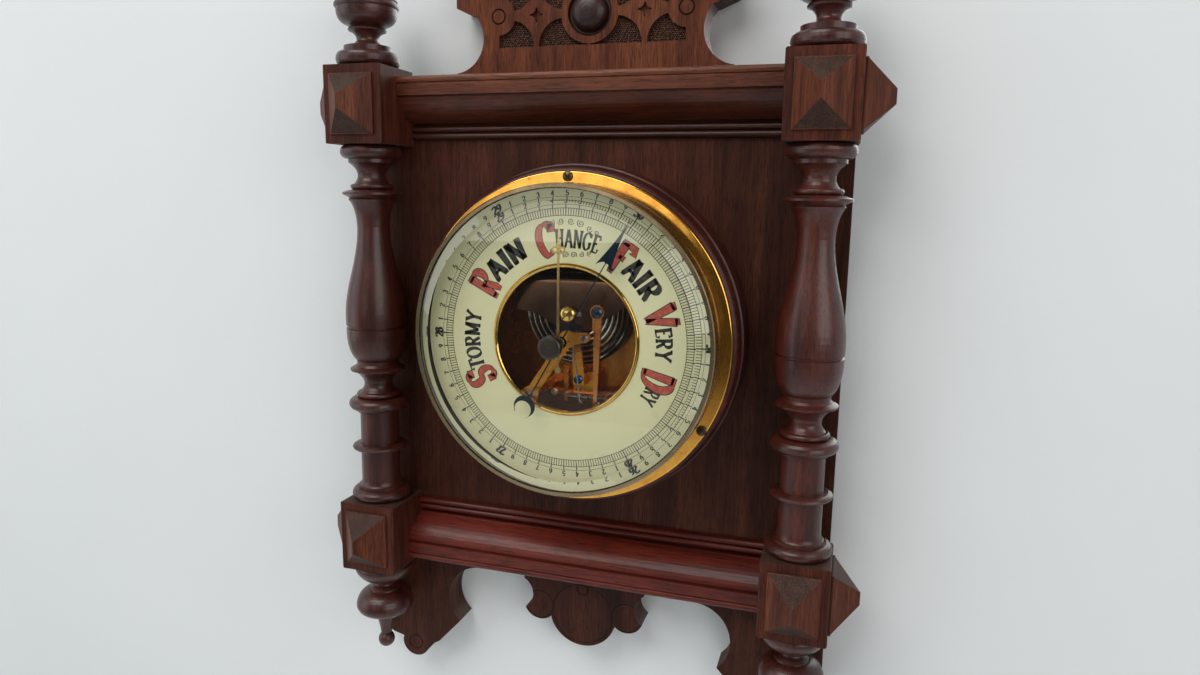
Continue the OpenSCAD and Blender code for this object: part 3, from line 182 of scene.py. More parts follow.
def newPiece(name, mesh, finish, smooth=False):
    data = bpy.data.meshes.new(name)
    mesh.normal_update()
    mesh.to_mesh(data)
    mesh.free()
    if smooth:
        for polygon in data.polygons:
            polygon.use_smooth = True
    data.materials.append(finish)
    piece = bpy.data.objects.new(name, data)
    bpy.context.scene.collection.objects.link(piece)
    return piece


def copyOfNode(name):                       # the node's own shape, its corners joined
    mesh = bmesh.new()
    mesh.from_mesh(cad[name].data)
    bmesh.ops.remove_doubles(mesh, verts=mesh.verts, dist=1e-7)
    return mesh


smoothBelow = math.radians(32)              # edges flatter than this are shaded round


def smoothShading(piece):
    for polygon in piece.data.polygons:
        polygon.use_smooth = True
    mesh = bmesh.new()
    mesh.from_mesh(piece.data)
    for edge in mesh.edges:
        edge.smooth = len(edge.link_faces) == 2 and edge.calc_face_angle(0) < smoothBelow
    mesh.to_mesh(piece.data)
    mesh.free()


# woods

woodSettings = {
    "alongGrain": 0.065,                    # scale along the grain, as a share of that across it
    # each noise: its scale for a metre, detail, roughness, twist
    "figure": (75, 5, 0.62, 0.9),           # broad bands
    "figureStops": (0.28, 0.5, 0.72),       # where the three tones of a wood lie
    "streak": (560, 6, 0.6, 0.3),
    "streakShades": [(0.32, (0.46, 0.42, 0.41)), (0.62, (1.13, 1.11, 1.09))], "streakAmount": 0.58,
    "wearStops": (0.3, 0.7), "wear": (0.07, -0.05),  # roughness that a streak adds, and takes off
    "fibre": (1500, 3, 0.55),               # dark lines between the streaks
    "fibreRange": (0.36, 0.47, 0.55, 0.0), "fibreTone": 0.3,
    "pore": (2600, 2, 0.5),                 # open pores
    "poreRange": (0.34, 0.46, 0.0, 1.0), "poreAmount": 0.5, "poreTone": 0.25,
    "poreBump": 0.5, "poreDepth": 0.00006,
    "cloud": (28, 3),                       # uneven colour, whatever the grain does
    "cloudShades": [(0.3, (0.68, 0.66, 0.66)), (0.7, (1.12, 1.1, 1.1))], "cloudAmount": 0.5,
    "stainAndShadeTone": (0.55, 0.42, 0.40),        # stain of gathered polish and dust, with painted shade, on the moulding's downward round
    "ringScale": 1100.0, "ringBump": 0.35, "ringDepth": 0.00005,
}
endGrain = {
    "upTo": (0.45, 0.6, 0.0, 1.0),          # how far a face looks up or down before it shows
    "speck": (1700, 3, 0.6), "rings": (260, 3, 0.5), "ringStretch": (1, 0.12, 1), "ringAmount": 0.5,
    "tones": [(0.34, (0.030, 0.0145, 0.0105)), (0.52, (0.058, 0.030, 0.022)), (0.72, (0.098, 0.058, 0.045))],
    "ringShades": [(0.35, (0.55, 0.5, 0.5)), (0.65, (1.1, 1.05, 1.0))], "addedRough": 0.12,
}
# painted shade in the cut lines: the tone and how much of it darkens them
cutLines = {
    "floor": 0.35,                          # flat part of a line, as a share of its half width
    "frontOnly": (-0.7, -0.4, 1.0, 0.0), "depth": 0.0004, "tone": (0.006, 0.002, 0.0015), "amount": 0.75,
}


# shift moves the figure, so that no two kinds of piece show the same one
def walnutFinish(name, tones, grain, gloss, shift=(0, 0, 0),
                 endsShow=False, carving=None, lathe=None, stain=None):
    w = woodSettings
    finish, tree, shader = startFinish(name)
    stretch = [1.0, 1.0, 1.0]
    stretch["xyz".index(grain)] = w["alongGrain"]
    place = placeFrom(tree, stretch, shift)
    figure, streak, fibre, pore = (noiseAt(tree, place, *w[k]) for k in ("figure", "streak", "fibre", "pore"))
    colour = addRamp(tree, figure, list(zip(w["figureStops"], tones)))
    streaks = addRamp(tree, streak, w["streakShades"])
    colour = mixColours(tree, w["streakAmount"], colour, streaks, "MULTIPLY")
    fibres = addRange(tree, fibre, *w["fibreRange"])
    colour = mixColours(tree, fibres, colour, darker(tones[0], w["fibreTone"]))
    poreMask = addRange(tree, pore, *w["poreRange"])
    poreShade = addRange(tree, poreMask, 0, 1, w["poreAmount"], 0)
    colour = mixColours(tree, poreShade, colour, darker(tones[0], w["poreTone"]))
    clouds = addRamp(tree, noiseAt(tree, placeFrom(tree), *w["cloud"]), w["cloudShades"])
    colour = mixColours(tree, w["cloudAmount"], colour, clouds, "MULTIPLY")
    # stain and painted shade: darker below a given height
    if stain:
        height = axesOf(tree, placeFrom(tree))[2]
        below = addRange(tree, height, stain["from"], stain["to"], 0.0, stain["amount"])
        colour = mixColours(tree, below, colour, w["stainAndShadeTone"], "MULTIPLY")
    rough = addRange(tree, streak, *w["wearStops"], *(gloss["rough"] + change for change in w["wear"]))
    normal = addBump(tree, None, poreMask, w["poreBump"], w["poreDepth"])
    if lathe:
        rings = ringsAlong(tree, axesOf(tree, placeFrom(tree))["xyz".index(lathe)], w["ringScale"])
        normal = addBump(tree, None, rings, w["ringBump"], w["ringDepth"], normal)
    if endsShow:
        colour, rough = endGrainOn(tree, colour, rough)
    if carving:
        colour, normal = carvedLines(tree, colour, normal, carving)
    tree.links.new(colour, shader.inputs["Base Color"])
    tree.links.new(rough, shader.inputs["Roughness"])
    tree.links.new(normal, shader.inputs["Normal"])
    setSockets(shader, {"Coat Weight": gloss["coat"], "Coat Roughness": gloss["coatRough"],
                        "Specular IOR Level": gloss["shine"]})
    return finish


def endGrainOn(tree, colour, rough):
    e = endGrain
    across = addRange(tree, addMaths(tree, "ABSOLUTE", facing(tree)[2]), *e["upTo"])
    speck = noiseAt(tree, placeFrom(tree), *e["speck"])
    rings = noiseAt(tree, placeFrom(tree, e["ringStretch"]), *e["rings"])
    shades = addRamp(tree, rings, e["ringShades"])
    cut = mixColours(tree, e["ringAmount"], addRamp(tree, speck, e["tones"]), shades, "MULTIPLY")
    added = addMaths(tree, "MULTIPLY", across, e["addedRough"])
    return mixColours(tree, across, colour, cut), addMaths(tree, "ADD", rough, added)


def carvedLines(tree, colour, normal, carving):
    c = cutLines
    flat = placeFrom(tree, (1, 0, 1))
    cut = None
    for x, z, radius, half in carving:
        reach = addNode(tree, "ShaderNodeVectorMath", operation="DISTANCE")
        tree.links.new(flat, reach.inputs[0])
        reach.inputs[1].default_value = (x * mm, 0, z * mm)
        off = addMaths(tree, "ABSOLUTE", addMaths(tree, "SUBTRACT", reach.outputs["Value"], radius * mm))
        line = addRange(tree, off, half * c["floor"] * mm, half * mm, 1.0, 0.0)
        cut = line if cut is None else addMaths(tree, "MAXIMUM", cut, line)
    cut = addMaths(tree, "MULTIPLY", cut, addRange(tree, facing(tree)[1], *c["frontOnly"]))
    # painted shade darkens the cut lines and punch marks
    shade = mixColours(tree, addMaths(tree, "MULTIPLY", cut, c["amount"]), colour, c["tone"])
    return shade, addBump(tree, None, addMaths(tree, "MULTIPLY", cut, -1.0), 1.0, c["depth"], normal)


# dark, middle and light tone of each wood
boardTones = ((0.026, 0.0066, 0.0035), (0.061, 0.0168, 0.0085), (0.102, 0.0300, 0.0148))
railTones = ((0.056, 0.0130, 0.0060), (0.128, 0.034, 0.0150), (0.205, 0.064, 0.027))
blockTones = ((0.034, 0.0080, 0.0046), (0.082, 0.0205, 0.0110), (0.135, 0.038, 0.0195))
crestTones = ((0.060, 0.0140, 0.0060), (0.144, 0.0395, 0.0160), (0.228, 0.073, 0.029))
turnedTones = ((0.026, 0.0048, 0.0034), (0.059, 0.0113, 0.0070), (0.100, 0.021, 0.012))
lowTones = ((0.050, 0.0066, 0.0040), (0.118, 0.0150, 0.0080), (0.185, 0.029, 0.0145))
bossTones = ((0.012, 0.003, 0.0025), (0.028, 0.006, 0.0045), (0.055, 0.012, 0.008))

waxed = {"rough": 0.5, "coat": 0.04, "coatRough": 0.3, "shine": 0.15}
burnished = {"rough": 0.4, "coat": 0.24, "coatRough": 0.26, "shine": 0.22}
polished = {"rough": 0.36, "coat": 0.42, "coatRough": 0.27, "shine": 0.3}
bossPolish = {"rough": 0.42, "coat": 0.3, "coatRough": 0.3, "shine": 0.3}

# lines and punch marks cut by hand: x, z, radius and half width in millimetres
apronRings = [(-25.6, -160.2, 8.2, 0.45), (25.6, -160.2, 8.2, 0.45), (0, -162.0, 17.4, 0.4)]
apronPunch = ((-3.4, -165.5), (0.6, -166.4), (-1.4, -169.0), (2.6, -170.2), (-5.0, -172.4))
apronMarks = apronRings + [(x, z, 0, 0.75) for x, z in apronPunch]
crestMarks = [(-49.2, 160.8, 3.6, 0.5), (49.2, 160.8, 3.6, 0.5)]  # round the middle of each disc

# the top moulding is darker on the shallow round below its flat face: a stain, and painted shade where the
# round faces down
mouldingFoot, mouldingHead = (corner[2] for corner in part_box("top_moulding"))
mouldingShade = {"share": 0.52, "blur": 1.5 * mm, "amount": 0.85}  # share of its height below the flat face
ovoloTop = mouldingFoot + mouldingShade["share"] * (mouldingHead - mouldingFoot)
mouldingStainAndShade = {"from": ovoloTop + mouldingShade["blur"], "to": ovoloTop - mouldingShade["blur"],
                 "amount": mouldingShade["amount"]}

boardWood = walnutFinish("waxedWalnutUpright", boardTones, "z", waxed, endsShow=True)
crestWood = walnutFinish("waxedWalnutCrest", crestTones, "z", waxed, (0.4, 0.1, 0.2), endsShow=True,
                         carving=crestMarks)
apronWood = walnutFinish("waxedWalnutApron", boardTones, "z", waxed, (0.9, 0.3, 0.7), endsShow=True,
                         carving=apronMarks)
mouldingWood = walnutFinish("walnutMoulding", railTones, "x", burnished, (0.2, 0.5, 0.1), stain=mouldingStainAndShade)
beadWood = walnutFinish("walnutBeads", boardTones, "x", burnished, (0.2, 0.8, 0.1))
lowMouldingWood = walnutFinish("walnutMouldingLow", lowTones, "x", burnished, (0.6, 0.5, 0.1))
blockWood = walnutFinish("walnutBlocks", blockTones, "z", waxed, (0.15, 0.75, 0.3), endsShow=True)
pyramidWood = walnutFinish("walnutPyramids", railTones, "z", waxed, (0.5, 0.2, 0.9), endsShow=True)
turnedWood = walnutFinish("polishedTurnings", turnedTones, "z", polished, (0.3, 0.3, 0.3), lathe="z")
bossWood = walnutFinish("darkTurnedBoss", bossTones, "y", bossPolish)
surroundWood = walnutFinish("turnedSurround", turnedTones, "x", burnished, (0.7, 0.1, 0.4))
print("barometer: woods ready")


# metals

metalSettings = {
    "cloud": (90, 5, 0.6), "cloudRange": (0.42, 0.72),  # slow change of tarnish
    "fleck": (620, 3, 0.6), "fleckRange": (0.66, 0.74), "fleckTone": 0.35,
    "wearRange": (0.3, 0.7, 0.0, 0.1), "wearBase": -0.04,  # roughness that the tarnish adds
    "hairline": (2400, 2), "hairlineStretch": (1, 1, 0.03), "ringScale": 2600.0, "scratchDepth": 0.00002,
    # painted shade on the pan's inner wall: where it starts, its tone, roughness and metal
    "panEdge": 0.05, "panShadeTone": (0.016, 0.010, 0.007), "panRough": 0.4, "panMetal": 0.3,
}
capsuleGrooveTarnishAndShade = {"floor": -23.2, "ridge": -23.85, "tone": (0.06, 0.045, 0.035)}  # tarnish and painted shade darken the grooves


def fromAxis(tree, place):                  # distance from the dial's axis
    x, _, z = axesOf(tree, place)
    squares = (addMaths(tree, "MULTIPLY", axis, axis) for axis in (x, z))
    return addMaths(tree, "SQRT", addMaths(tree, "ADD", *squares))


def metalFinish(name, colour, tarnish, rough, turned=False, spots=0.25, scratch=0.35,
                shadedInside=None, metal=1.0):
    m = metalSettings
    finish, tree, shader = startFinish(name)
    place = placeFrom(tree)
    cloud, fleck = noiseAt(tree, place, *m["cloud"]), noiseAt(tree, place, *m["fleck"])
    shade = mixColours(tree, addRange(tree, cloud, *m["cloudRange"], 0.0, spots), colour, tarnish)
    flecks = addRange(tree, fleck, *m["fleckRange"], 0.0, spots)
    shade = mixColours(tree, flecks, shade, darker(tarnish, m["fleckTone"]))
    wear = addMaths(tree, "ADD", addRange(tree, cloud, *m["wearRange"]), rough + m["wearBase"])
    if turned:
        reach = fromAxis(tree, place)
        height = ringsAlong(tree, reach, m["ringScale"])
    else:
        height = noiseAt(tree, placeFrom(tree, m["hairlineStretch"]), *m["hairline"])
    if shadedInside:                          # painted shade on the pan's inner wall, inside this radius
        inside = addRange(tree, reach, (shadedInside - m["panEdge"]) * mm, shadedInside * mm, 1.0, 0.0)
        shade = mixColours(tree, inside, shade, m["panShadeTone"])
        wear = addMaths(tree, "ADD", wear, addMaths(tree, "MULTIPLY", inside, m["panRough"]))
        tree.links.new(addRange(tree, inside, 0, 1, 1.0, m["panMetal"]), shader.inputs["Metallic"])
    else:
        setSockets(shader, {"Metallic": metal})
    tree.links.new(shade, shader.inputs["Base Color"])
    tree.links.new(wear, shader.inputs["Roughness"])
    addBump(tree, shader, height, scratch, m["scratchDepth"])
    return finish


def capsuleFinish():
    g = capsuleGrooveTarnishAndShade
    finish = metalFinish("capsuleSilver", (0.86, 0.78, 0.66), (0.50, 0.40, 0.30), 0.10,
                         spots=0.3, scratch=0.02)
    tree, shader = finish.node_tree, finish.node_tree.nodes["Principled BSDF"]
    silver = shader.inputs["Base Color"].links[0].from_socket
    depth = axesOf(tree, placeFrom(tree))[1]
    # tarnish and painted shade: the grooves are darker than the ridges
    ridge = addRange(tree, depth, g["floor"] * mm, g["ridge"] * mm, 0.0, 1.0)
    tree.links.new(mixColours(tree, ridge, g["tone"], silver), shader.inputs["Base Color"])
    return finish


caseBrass = metalFinish("lacqueredCaseBrass", (0.97, 0.50, 0.095), (0.72, 0.22, 0.03), 0.13, turned=True,
                        spots=0.55, scratch=0.14, shadedInside=75.3)
bezelBrass = metalFinish("bronzedBezel", (0.40, 0.31, 0.19), (0.20, 0.14, 0.08), 0.24, turned=True,
                         spots=0.5, scratch=0.2)
screwBronze = metalFinish("darkScrewBronze", (0.085, 0.055, 0.032), (0.04, 0.026, 0.018), 0.36, spots=0.5)
workBrass = metalFinish("movementBrass", (0.96, 0.43, 0.075), (0.74, 0.24, 0.03), 0.27,
                        spots=0.3, scratch=0.1)
studBrass = metalFinish("polishedStudBrass", (0.96, 0.66, 0.20), (0.72, 0.42, 0.10), 0.14,
                        spots=0.2, scratch=0.15)
plateBrass = metalFinish("basePlateBrass", (0.70, 0.31, 0.07), (0.34, 0.13, 0.03), 0.24,
                         spots=0.5, scratch=0.1)
ringBrass = metalFinish("openingRingBrass", (0.90, 0.55, 0.14), (0.60, 0.32, 0.08), 0.08,
                        spots=0.3, scratch=0.1)
handBrass = metalFinish("setHandBrass", (0.84, 0.62, 0.26), (0.5, 0.32, 0.12), 0.2, spots=0.2)
colletBrass = metalFinish("colletBrass", (0.80, 0.70, 0.38), (0.6, 0.48, 0.22), 0.34,
                          spots=0.2, scratch=0.1, metal=0.4)
knobMetal = metalFinish("blackenedKnob", (0.085, 0.075, 0.066), (0.045, 0.04, 0.036), 0.36, turned=True,
                        spots=0.5, scratch=0.4)
hangingBrass = metalFinish("agedHangingBrass", (0.36, 0.21, 0.075), (0.16, 0.08, 0.03), 0.42, spots=0.7)
leverCopper = metalFinish("leverCopper", (0.92, 0.38, 0.12), (0.6, 0.20, 0.06), 0.26,
                          spots=0.3, scratch=0.1)
capsuleSilver = capsuleFinish()
springSteel = metalFinish("brownedSpringSteel", (0.22, 0.128, 0.085), (0.12, 0.07, 0.05), 0.16,
                          spots=0.4, scratch=0.03)
agedSteel = metalFinish("agedSteel", (0.22, 0.20, 0.18), (0.12, 0.10, 0.085), 0.27, spots=0.4, scratch=0.1)
brightSteel = metalFinish("polishedSteel", (0.56, 0.56, 0.58), (0.36, 0.33, 0.30), 0.2, spots=0.2)
blueSteel = metalFinish("bluedScrewSteel", (0.045, 0.115, 0.31), (0.03, 0.05, 0.14), 0.2, spots=0.3)
darkBlueSteel = metalFinish("dullBluedSteel", (0.055, 0.085, 0.115), (0.04, 0.05, 0.06), 0.26, spots=0.4)
handBlue = metalFinish("bluedHandSteel", (0.016, 0.034, 0.062), (0.010, 0.016, 0.03), 0.3, spots=0.3)
print("barometer: metals ready")


# enamel, ink and glass

enamelSettings = {
    "cloud": (14, 4, 0.55), "tones": [(0.3, (0.66, 0.64, 0.37)), (0.7, (0.72, 0.70, 0.43))],
    "speck": (1500, 2, 0.5), "speckRange": (0.70, 0.78, 0.0, 0.35), "speckTone": (0.36, 0.27, 0.13),
    "roughRange": (0.3, 0.7, 0.26, 0.34), "coat": 0.3, "coatRough": 0.12,
    "ripple": (110, 2), "rippleBump": 0.15, "rippleDepth": 0.00004,
}
inkWear = {"noise": (900, 4, 0.6), "stops": (0.35, 0.75), "roughRange": (0.3, 0.7, 0.4, 0.6)}
glassSettings = {
    "smear": (60, 4, 0.6), "smearRange": (0.35, 0.75, 0.0, 0.02),
    "shadow": 0.06,                         # lamp light passes through to the dial
    "tint": (0.97, 0.985, 0.975, 1), "refraction": 1.5,
}


def enamelFinish():
    e = enamelSettings
    finish, tree, shader = startFinish("creamEnamel")
    place = placeFrom(tree)
    cloud, speck = noiseAt(tree, place, *e["cloud"]), noiseAt(tree, place, *e["speck"])
    specks = addRange(tree, speck, *e["speckRange"])
    colour = mixColours(tree, specks, addRamp(tree, cloud, e["tones"]), e["speckTone"])
    tree.links.new(colour, shader.inputs["Base Color"])
    tree.links.new(addRange(tree, cloud, *e["roughRange"]), shader.inputs["Roughness"])
    addBump(tree, shader, noiseAt(tree, place, *e["ripple"]), e["rippleBump"], e["rippleDepth"])
    setSockets(shader, {"Coat Weight": e["coat"], "Coat Roughness": e["coatRough"]})
    return finish


def inkFinish(name, *tones):
    finish, tree, shader = startFinish(name)
    wear = noiseAt(tree, placeFrom(tree), *inkWear["noise"])
    colour = addRamp(tree, wear, list(zip(inkWear["stops"], tones)))
    tree.links.new(colour, shader.inputs["Base Color"])
    tree.links.new(addRange(tree, wear, *inkWear["roughRange"]), shader.inputs["Roughness"])
    return finish


def glassFinish():
    g = glassSettings
    finish, tree, shader = startFinish("bevelledGlass")
    smear = noiseAt(tree, placeFrom(tree), *g["smear"])
    tree.links.new(addRange(tree, smear, *g["smearRange"]), shader.inputs["Roughness"])
    rays = addNode(tree, "ShaderNodeLightPath")
    passing = addMaths(tree, "MAXIMUM", rays.outputs["Is Shadow Ray"], rays.outputs["Is Diffuse Ray"])
    tree.links.new(addRange(tree, passing, 0, 1, 1.0, g["shadow"]), shader.inputs["Alpha"])
    setSockets(shader, {"Base Color": g["tint"], "Transmission Weight": 1.0, "IOR": g["refraction"]})
    return finish


enamel = enamelFinish()
blackInk = inkFinish("blackDialInk", (0.012, 0.012, 0.012), (0.05, 0.048, 0.04))
redInk = inkFinish("redDialInk", (0.34, 0.042, 0.027), (0.52, 0.125, 0.085))
clearGlass = glassFinish()

finishOf = {
    "back_board": boardWood, "crest_board": crestWood, "apron_board": apronWood, "crest_boss": bossWood,
    "top_moulding": mouldingWood, "bottom_moulding": lowMouldingWood,
    "top_bead_strip": beadWood, "bottom_bead_strip": lowMouldingWood,
    "top_left_block": blockWood, "top_right_block": blockWood,
    "bottom_left_block": blockWood, "bottom_right_block": blockWood,
    "front_pyramids": pyramidWood, "side_pyramids": pyramidWood,
    "left_column": turnedWood, "right_column": turnedWood,
    "left_finial": turnedWood, "right_finial": turnedWood,
    "left_pendant": turnedWood, "right_pendant": turnedWood, "dial_surround": surroundWood,
    "brass_case": caseBrass, "flange_screws": screwBronze, "glass_bezel": bezelBrass, "glass": clearGlass,
    "dial": enamel, "dial_opening_ring": ringBrass, "dial_feet": workBrass,
    "base_plate": plateBrass, "base_plate_feet": plateBrass, "capsule": capsuleSilver,
    "capsule_stud": studBrass, "knife_edge": brightSteel, "mainspring": springSteel,
    "spring_bridge": workBrass, "spring_screws": blueSteel, "adjusting_screw": brightSteel,
    "main_lever": leverCopper, "lever_screw": darkBlueSteel, "connecting_link": brightSteel,
    "rocking_arbor": agedSteel, "rocker_frame": workBrass, "frame_screws": colletBrass,
    "arbor_cock": workBrass, "cock_screw": blueSteel, "arbor_bridge": workBrass, "bridge_screws": agedSteel,
    "hairspring": blueSteel, "hairspring_stud": workBrass, "hand_arbor": brightSteel, "chain": brightSteel,
    "hand_collet": colletBrass, "pressure_hand": handBlue, "set_hand": handBrass, "set_hand_knob": knobMetal,
    "hanging_plate": hangingBrass, "hanging_screws": hangingBrass,
}
for name, finish in finishOf.items():
    cad[name].data.materials.clear()
    cad[name].data.materials.append(finish)
print("barometer: finishes laid on", len(finishOf), "nodes")


# the printed dial, in millimetres and in degrees clockwise from its top

dialPrint = {
    "face": -47.2 - 0.03,                   # depth of the ink, just in front of the enamel
    "inchTurn": 60,                         # degrees for each inch of mercury
    "bandIn": 61.1, "bandOut": 64.6, "bandLine": 0.15, "outer": 66.4, "outerLine": 0.1,
    "fiftiethWide": 0.34, "tenthWide": 0.48, "inchWide": 0.6, "inchPast": 0.8, "tickRise": 0.005,
    "numberFoot": 67.0, "numberHigh": 2.7, "inchFoot": 66.9, "inchHigh": 4.1,
    "wordMiddle": 50.1, "mostStretch": 1.15, "thinShare": 0.34,
    "initialFoot": 42.2, "initialHigh": 15.6, "penLean": 16,
}
inchesClockwise = (30, 31, 26, 27, 28, 29)  # the top of the dial is 29.5
# strokes of the pen: how wide letters are set, thin and thick of a stroke, and how far the ink stands up
pens = {
    "number": {"stretch": 0.95, "thin": 0.3, "thick": 0.72, "rise": 0.008},
    "inch": {"stretch": 0.95, "thin": 0.5, "thick": 1.45, "rise": 0.008},
    "initial": {"stretch": 0.8, "thin": 2.0, "thick": 5.2, "rise": 0.006},
    "redInitial": {"stretch": 0.8, "thin": 1.2, "thick": 4.2, "rise": 0.014},
}
# each word: its letters, the clock angle of its middle, the angle that it fills, its height and its weight
weatherWords = (("STORMY", 262, 44, 8.0, 1.9), ("RAIN", 315.5, 38, 10.4, 3.0), ("CHANGE", 1.5, 37, 8.4, 1.9),
                ("FAIR", 46, 33, 10.4, 3.0), ("VERY", 83, 30, 7.8, 1.8), ("DRY", 114, 20, 7.6, 1.8))
# scrolls round the middle word: clock angle, distance from the pivot, size, turns, start, and which way
dialScrolls = (
    (-7.5, 57.6, 1.9, 1.6, 200, 1), (-2.6, 58.3, 1.7, 1.5, 20, -1), (2.6, 58.4, 1.7, 1.5, 160, 1),
    (7.6, 57.8, 1.9, 1.6, 340, -1), (12.4, 56.2, 1.6, 1.4, 200, 1), (-4.4, 43.2, 1.5, 1.5, 180, -1),
    (0.4, 42.2, 1.7, 1.6, 20, 1), (5.6, 42.4, 1.6, 1.5, 160, -1), (10.8, 43.2, 1.4, 1.4, 330, 1),
    (16.2, 55.2, 1.3, 1.3, 20, -1), (15.6, 44.8, 1.3, 1.3, 200, 1))
scrollPen = {"points": 30, "core": 0.12, "thin": 0.24, "thick": 0.46, "rise": 0.01}


def oval(cx, cy, rx, ry, start, stop, steps=20):
    angles = [math.radians(start + (stop - start) * i / steps) for i in range(steps + 1)]
    return [(cx + rx * math.cos(a), cy + ry * math.sin(a)) for a in angles]


def foot(x, y=0.02, half=0.15):
    return [(x - half, y), (x + half, y)]


def stem(x):
    return [(x, 1), (x, 0)]


# strokes of the letters and numerals, one unit high, after the width that each one takes
strokesOf = {
    "0": (0.62, [oval(0.31, 0.5, 0.23, 0.48, 0, 360, 28)]),
    "1": (0.5, [[(0.1, 0.8), (0.25, 0.98)], stem(0.25), foot(0.25)]),
    "2": (0.62, [oval(0.3, 0.72, 0.23, 0.27, 175, -35) + [(0.07, 0.03)],
                 [(0.07, 0.03), (0.55, 0.03), (0.57, 0.2)]]),
    "3": (0.6, [oval(0.27, 0.75, 0.2, 0.24, 155, -90), oval(0.27, 0.265, 0.24, 0.25, 90, -155)]),
    "4": (0.62, [[(0.42, 1.0), (0.03, 0.3)], [(0.03, 0.3), (0.58, 0.3)], stem(0.42), foot(0.42, 0.02, 0.12)]),
    "5": (0.6, [[(0.5, 0.97), (0.13, 0.97), (0.1, 0.5)], oval(0.27, 0.31, 0.25, 0.29, 135, -155)]),
    "6": (0.62, [oval(0.31, 0.29, 0.22, 0.27, 0, 360, 26),
                 [(0.5, 0.95), (0.3, 0.85), (0.14, 0.62), (0.09, 0.3)]]),
    "7": (0.58, [[(0.05, 0.8), (0.07, 0.96), (0.54, 0.96)], [(0.54, 0.96), (0.3, 0.5), (0.24, 0)]]),
    "8": (0.62, [oval(0.31, 0.755, 0.18, 0.22, 0, 360, 24), oval(0.31, 0.275, 0.23, 0.255, 0, 360, 26)]),
    "9": (0.62, [oval(0.31, 0.71, 0.22, 0.27, 0, 360, 26),
                 [(0.12, 0.05), (0.32, 0.15), (0.48, 0.38), (0.53, 0.7)]]),
    "A": (0.78, [[(0.38, 1.0), (0.1, 0.02)], [(0.38, 1.0), (0.68, 0.02)], [(0.2, 0.33), (0.57, 0.33)],
                 foot(0.1, 0.02, 0.1), foot(0.66, 0.02, 0.13)]),
    "C": (0.74, [oval(0.4, 0.5, 0.31, 0.48, 48, 312, 30), [(0.62, 0.98), (0.62, 0.72)]]),
    "D": (0.78, [stem(0.2), [(0.06, 0.98), (0.36, 0.98)], oval(0.36, 0.5, 0.33, 0.48, 90, -90, 24),
                 [(0.36, 0.02), (0.06, 0.02)]]),
    "E": (0.68, [stem(0.2), [(0.06, 0.98), (0.58, 0.98), (0.6, 0.78)], [(0.2, 0.52), (0.46, 0.52)],
                 [(0.06, 0.02), (0.6, 0.02), (0.63, 0.24)]]),
    "F": (0.64, [stem(0.2), [(0.06, 0.98), (0.58, 0.98), (0.6, 0.76)], [(0.2, 0.52), (0.46, 0.52)],
                 foot(0.2)]),
    "G": (0.8, [oval(0.4, 0.5, 0.31, 0.48, 48, 320, 30), [(0.64, 0.42), (0.64, 0.1)], foot(0.64, 0.42, 0.13),
                [(0.62, 0.98), (0.62, 0.74)]]),
    "H": (0.84, [stem(0.2), stem(0.64), [(0.2, 0.51), (0.64, 0.51)],
                 foot(0.2), foot(0.2, 0.98), foot(0.64), foot(0.64, 0.98)]),
    "I": (0.4, [stem(0.2), foot(0.2), foot(0.2, 0.98)]),
    "M": (0.96, [[(0.17, 0), (0.17, 1)], [(0.17, 1), (0.47, 0.08)], [(0.47, 0.08), (0.77, 1)], stem(0.77),
                 foot(0.17, 0.02, 0.12), foot(0.77), foot(0.12, 0.98, 0.08), foot(0.82, 0.98, 0.08)]),
    "N": (0.84, [[(0.17, 0), (0.17, 1)], [(0.17, 1), (0.66, 0.02)], [(0.66, 0), (0.66, 1)],
                 foot(0.17, 0.02, 0.12), foot(0.66, 0.98, 0.13), foot(0.11, 0.98, 0.08)]),
    "O": (0.8, [oval(0.4, 0.5, 0.31, 0.48, 0, 360, 32)]),
    "R": (0.78, [stem(0.2), [(0.06, 0.98), (0.38, 0.98)], oval(0.38, 0.745, 0.22, 0.235, 90, -90, 18),
                 [(0.38, 0.51), (0.2, 0.51)], [(0.36, 0.51), (0.64, 0.04), (0.74, 0.06)], foot(0.2)]),
    "S": (0.66, [oval(0.33, 0.735, 0.22, 0.245, 35, 270, 20) + oval(0.33, 0.255, 0.25, 0.235, 90, -150, 20),
                 [(0.53, 0.97), (0.53, 0.74)], [(0.1, 0.03), (0.1, 0.3)]]),
    "T": (0.74, [stem(0.37), [(0.05, 0.76), (0.07, 0.98), (0.67, 0.98), (0.69, 0.76)], foot(0.37)]),
    "V": (0.78, [[(0.12, 1), (0.4, 0.02)], [(0.68, 1), (0.4, 0.02)],
                 foot(0.12, 0.98, 0.13), foot(0.66, 0.98, 0.11)]),
    "Y": (0.78, [[(0.12, 1), (0.39, 0.5)], [(0.66, 1), (0.39, 0.5)], [(0.39, 0.5), (0.39, 0)],
                 foot(0.12, 0.98, 0.13), foot(0.66, 0.98, 0.11), foot(0.39)]),
}


def strokeMesh(mesh, points, put, thin, thick):  # a stroke is thickest across the lean of the pen
    rows = []
    for i, (x, y) in enumerate(points):
        a, b = points[max(i - 1, 0)], points[min(i + 1, len(points) - 1)]
        dx, dy = b[0] - a[0], b[1] - a[1]
        run = math.hypot(dx, dy) or 1
        lean = abs(math.sin(math.atan2(dy, dx) - math.radians(dialPrint["penLean"])))
        half = (thin + (thick - thin) * lean) / 2
        nx, ny = -dy / run * half, dx / run * half
        rows.append((mesh.verts.new(put(x + nx, y + ny)), mesh.verts.new(put(x - nx, y - ny))))
    for (a, b), (c, d) in zip(rows, rows[1:]):
        mesh.faces.new((a, b, d, c))


def onDial(angle, reach, rise=0.0):
    turn = math.radians(angle)
    return Vector((reach * math.sin(turn), dialPrint["face"] - rise, reach * math.cos(turn))) * mm


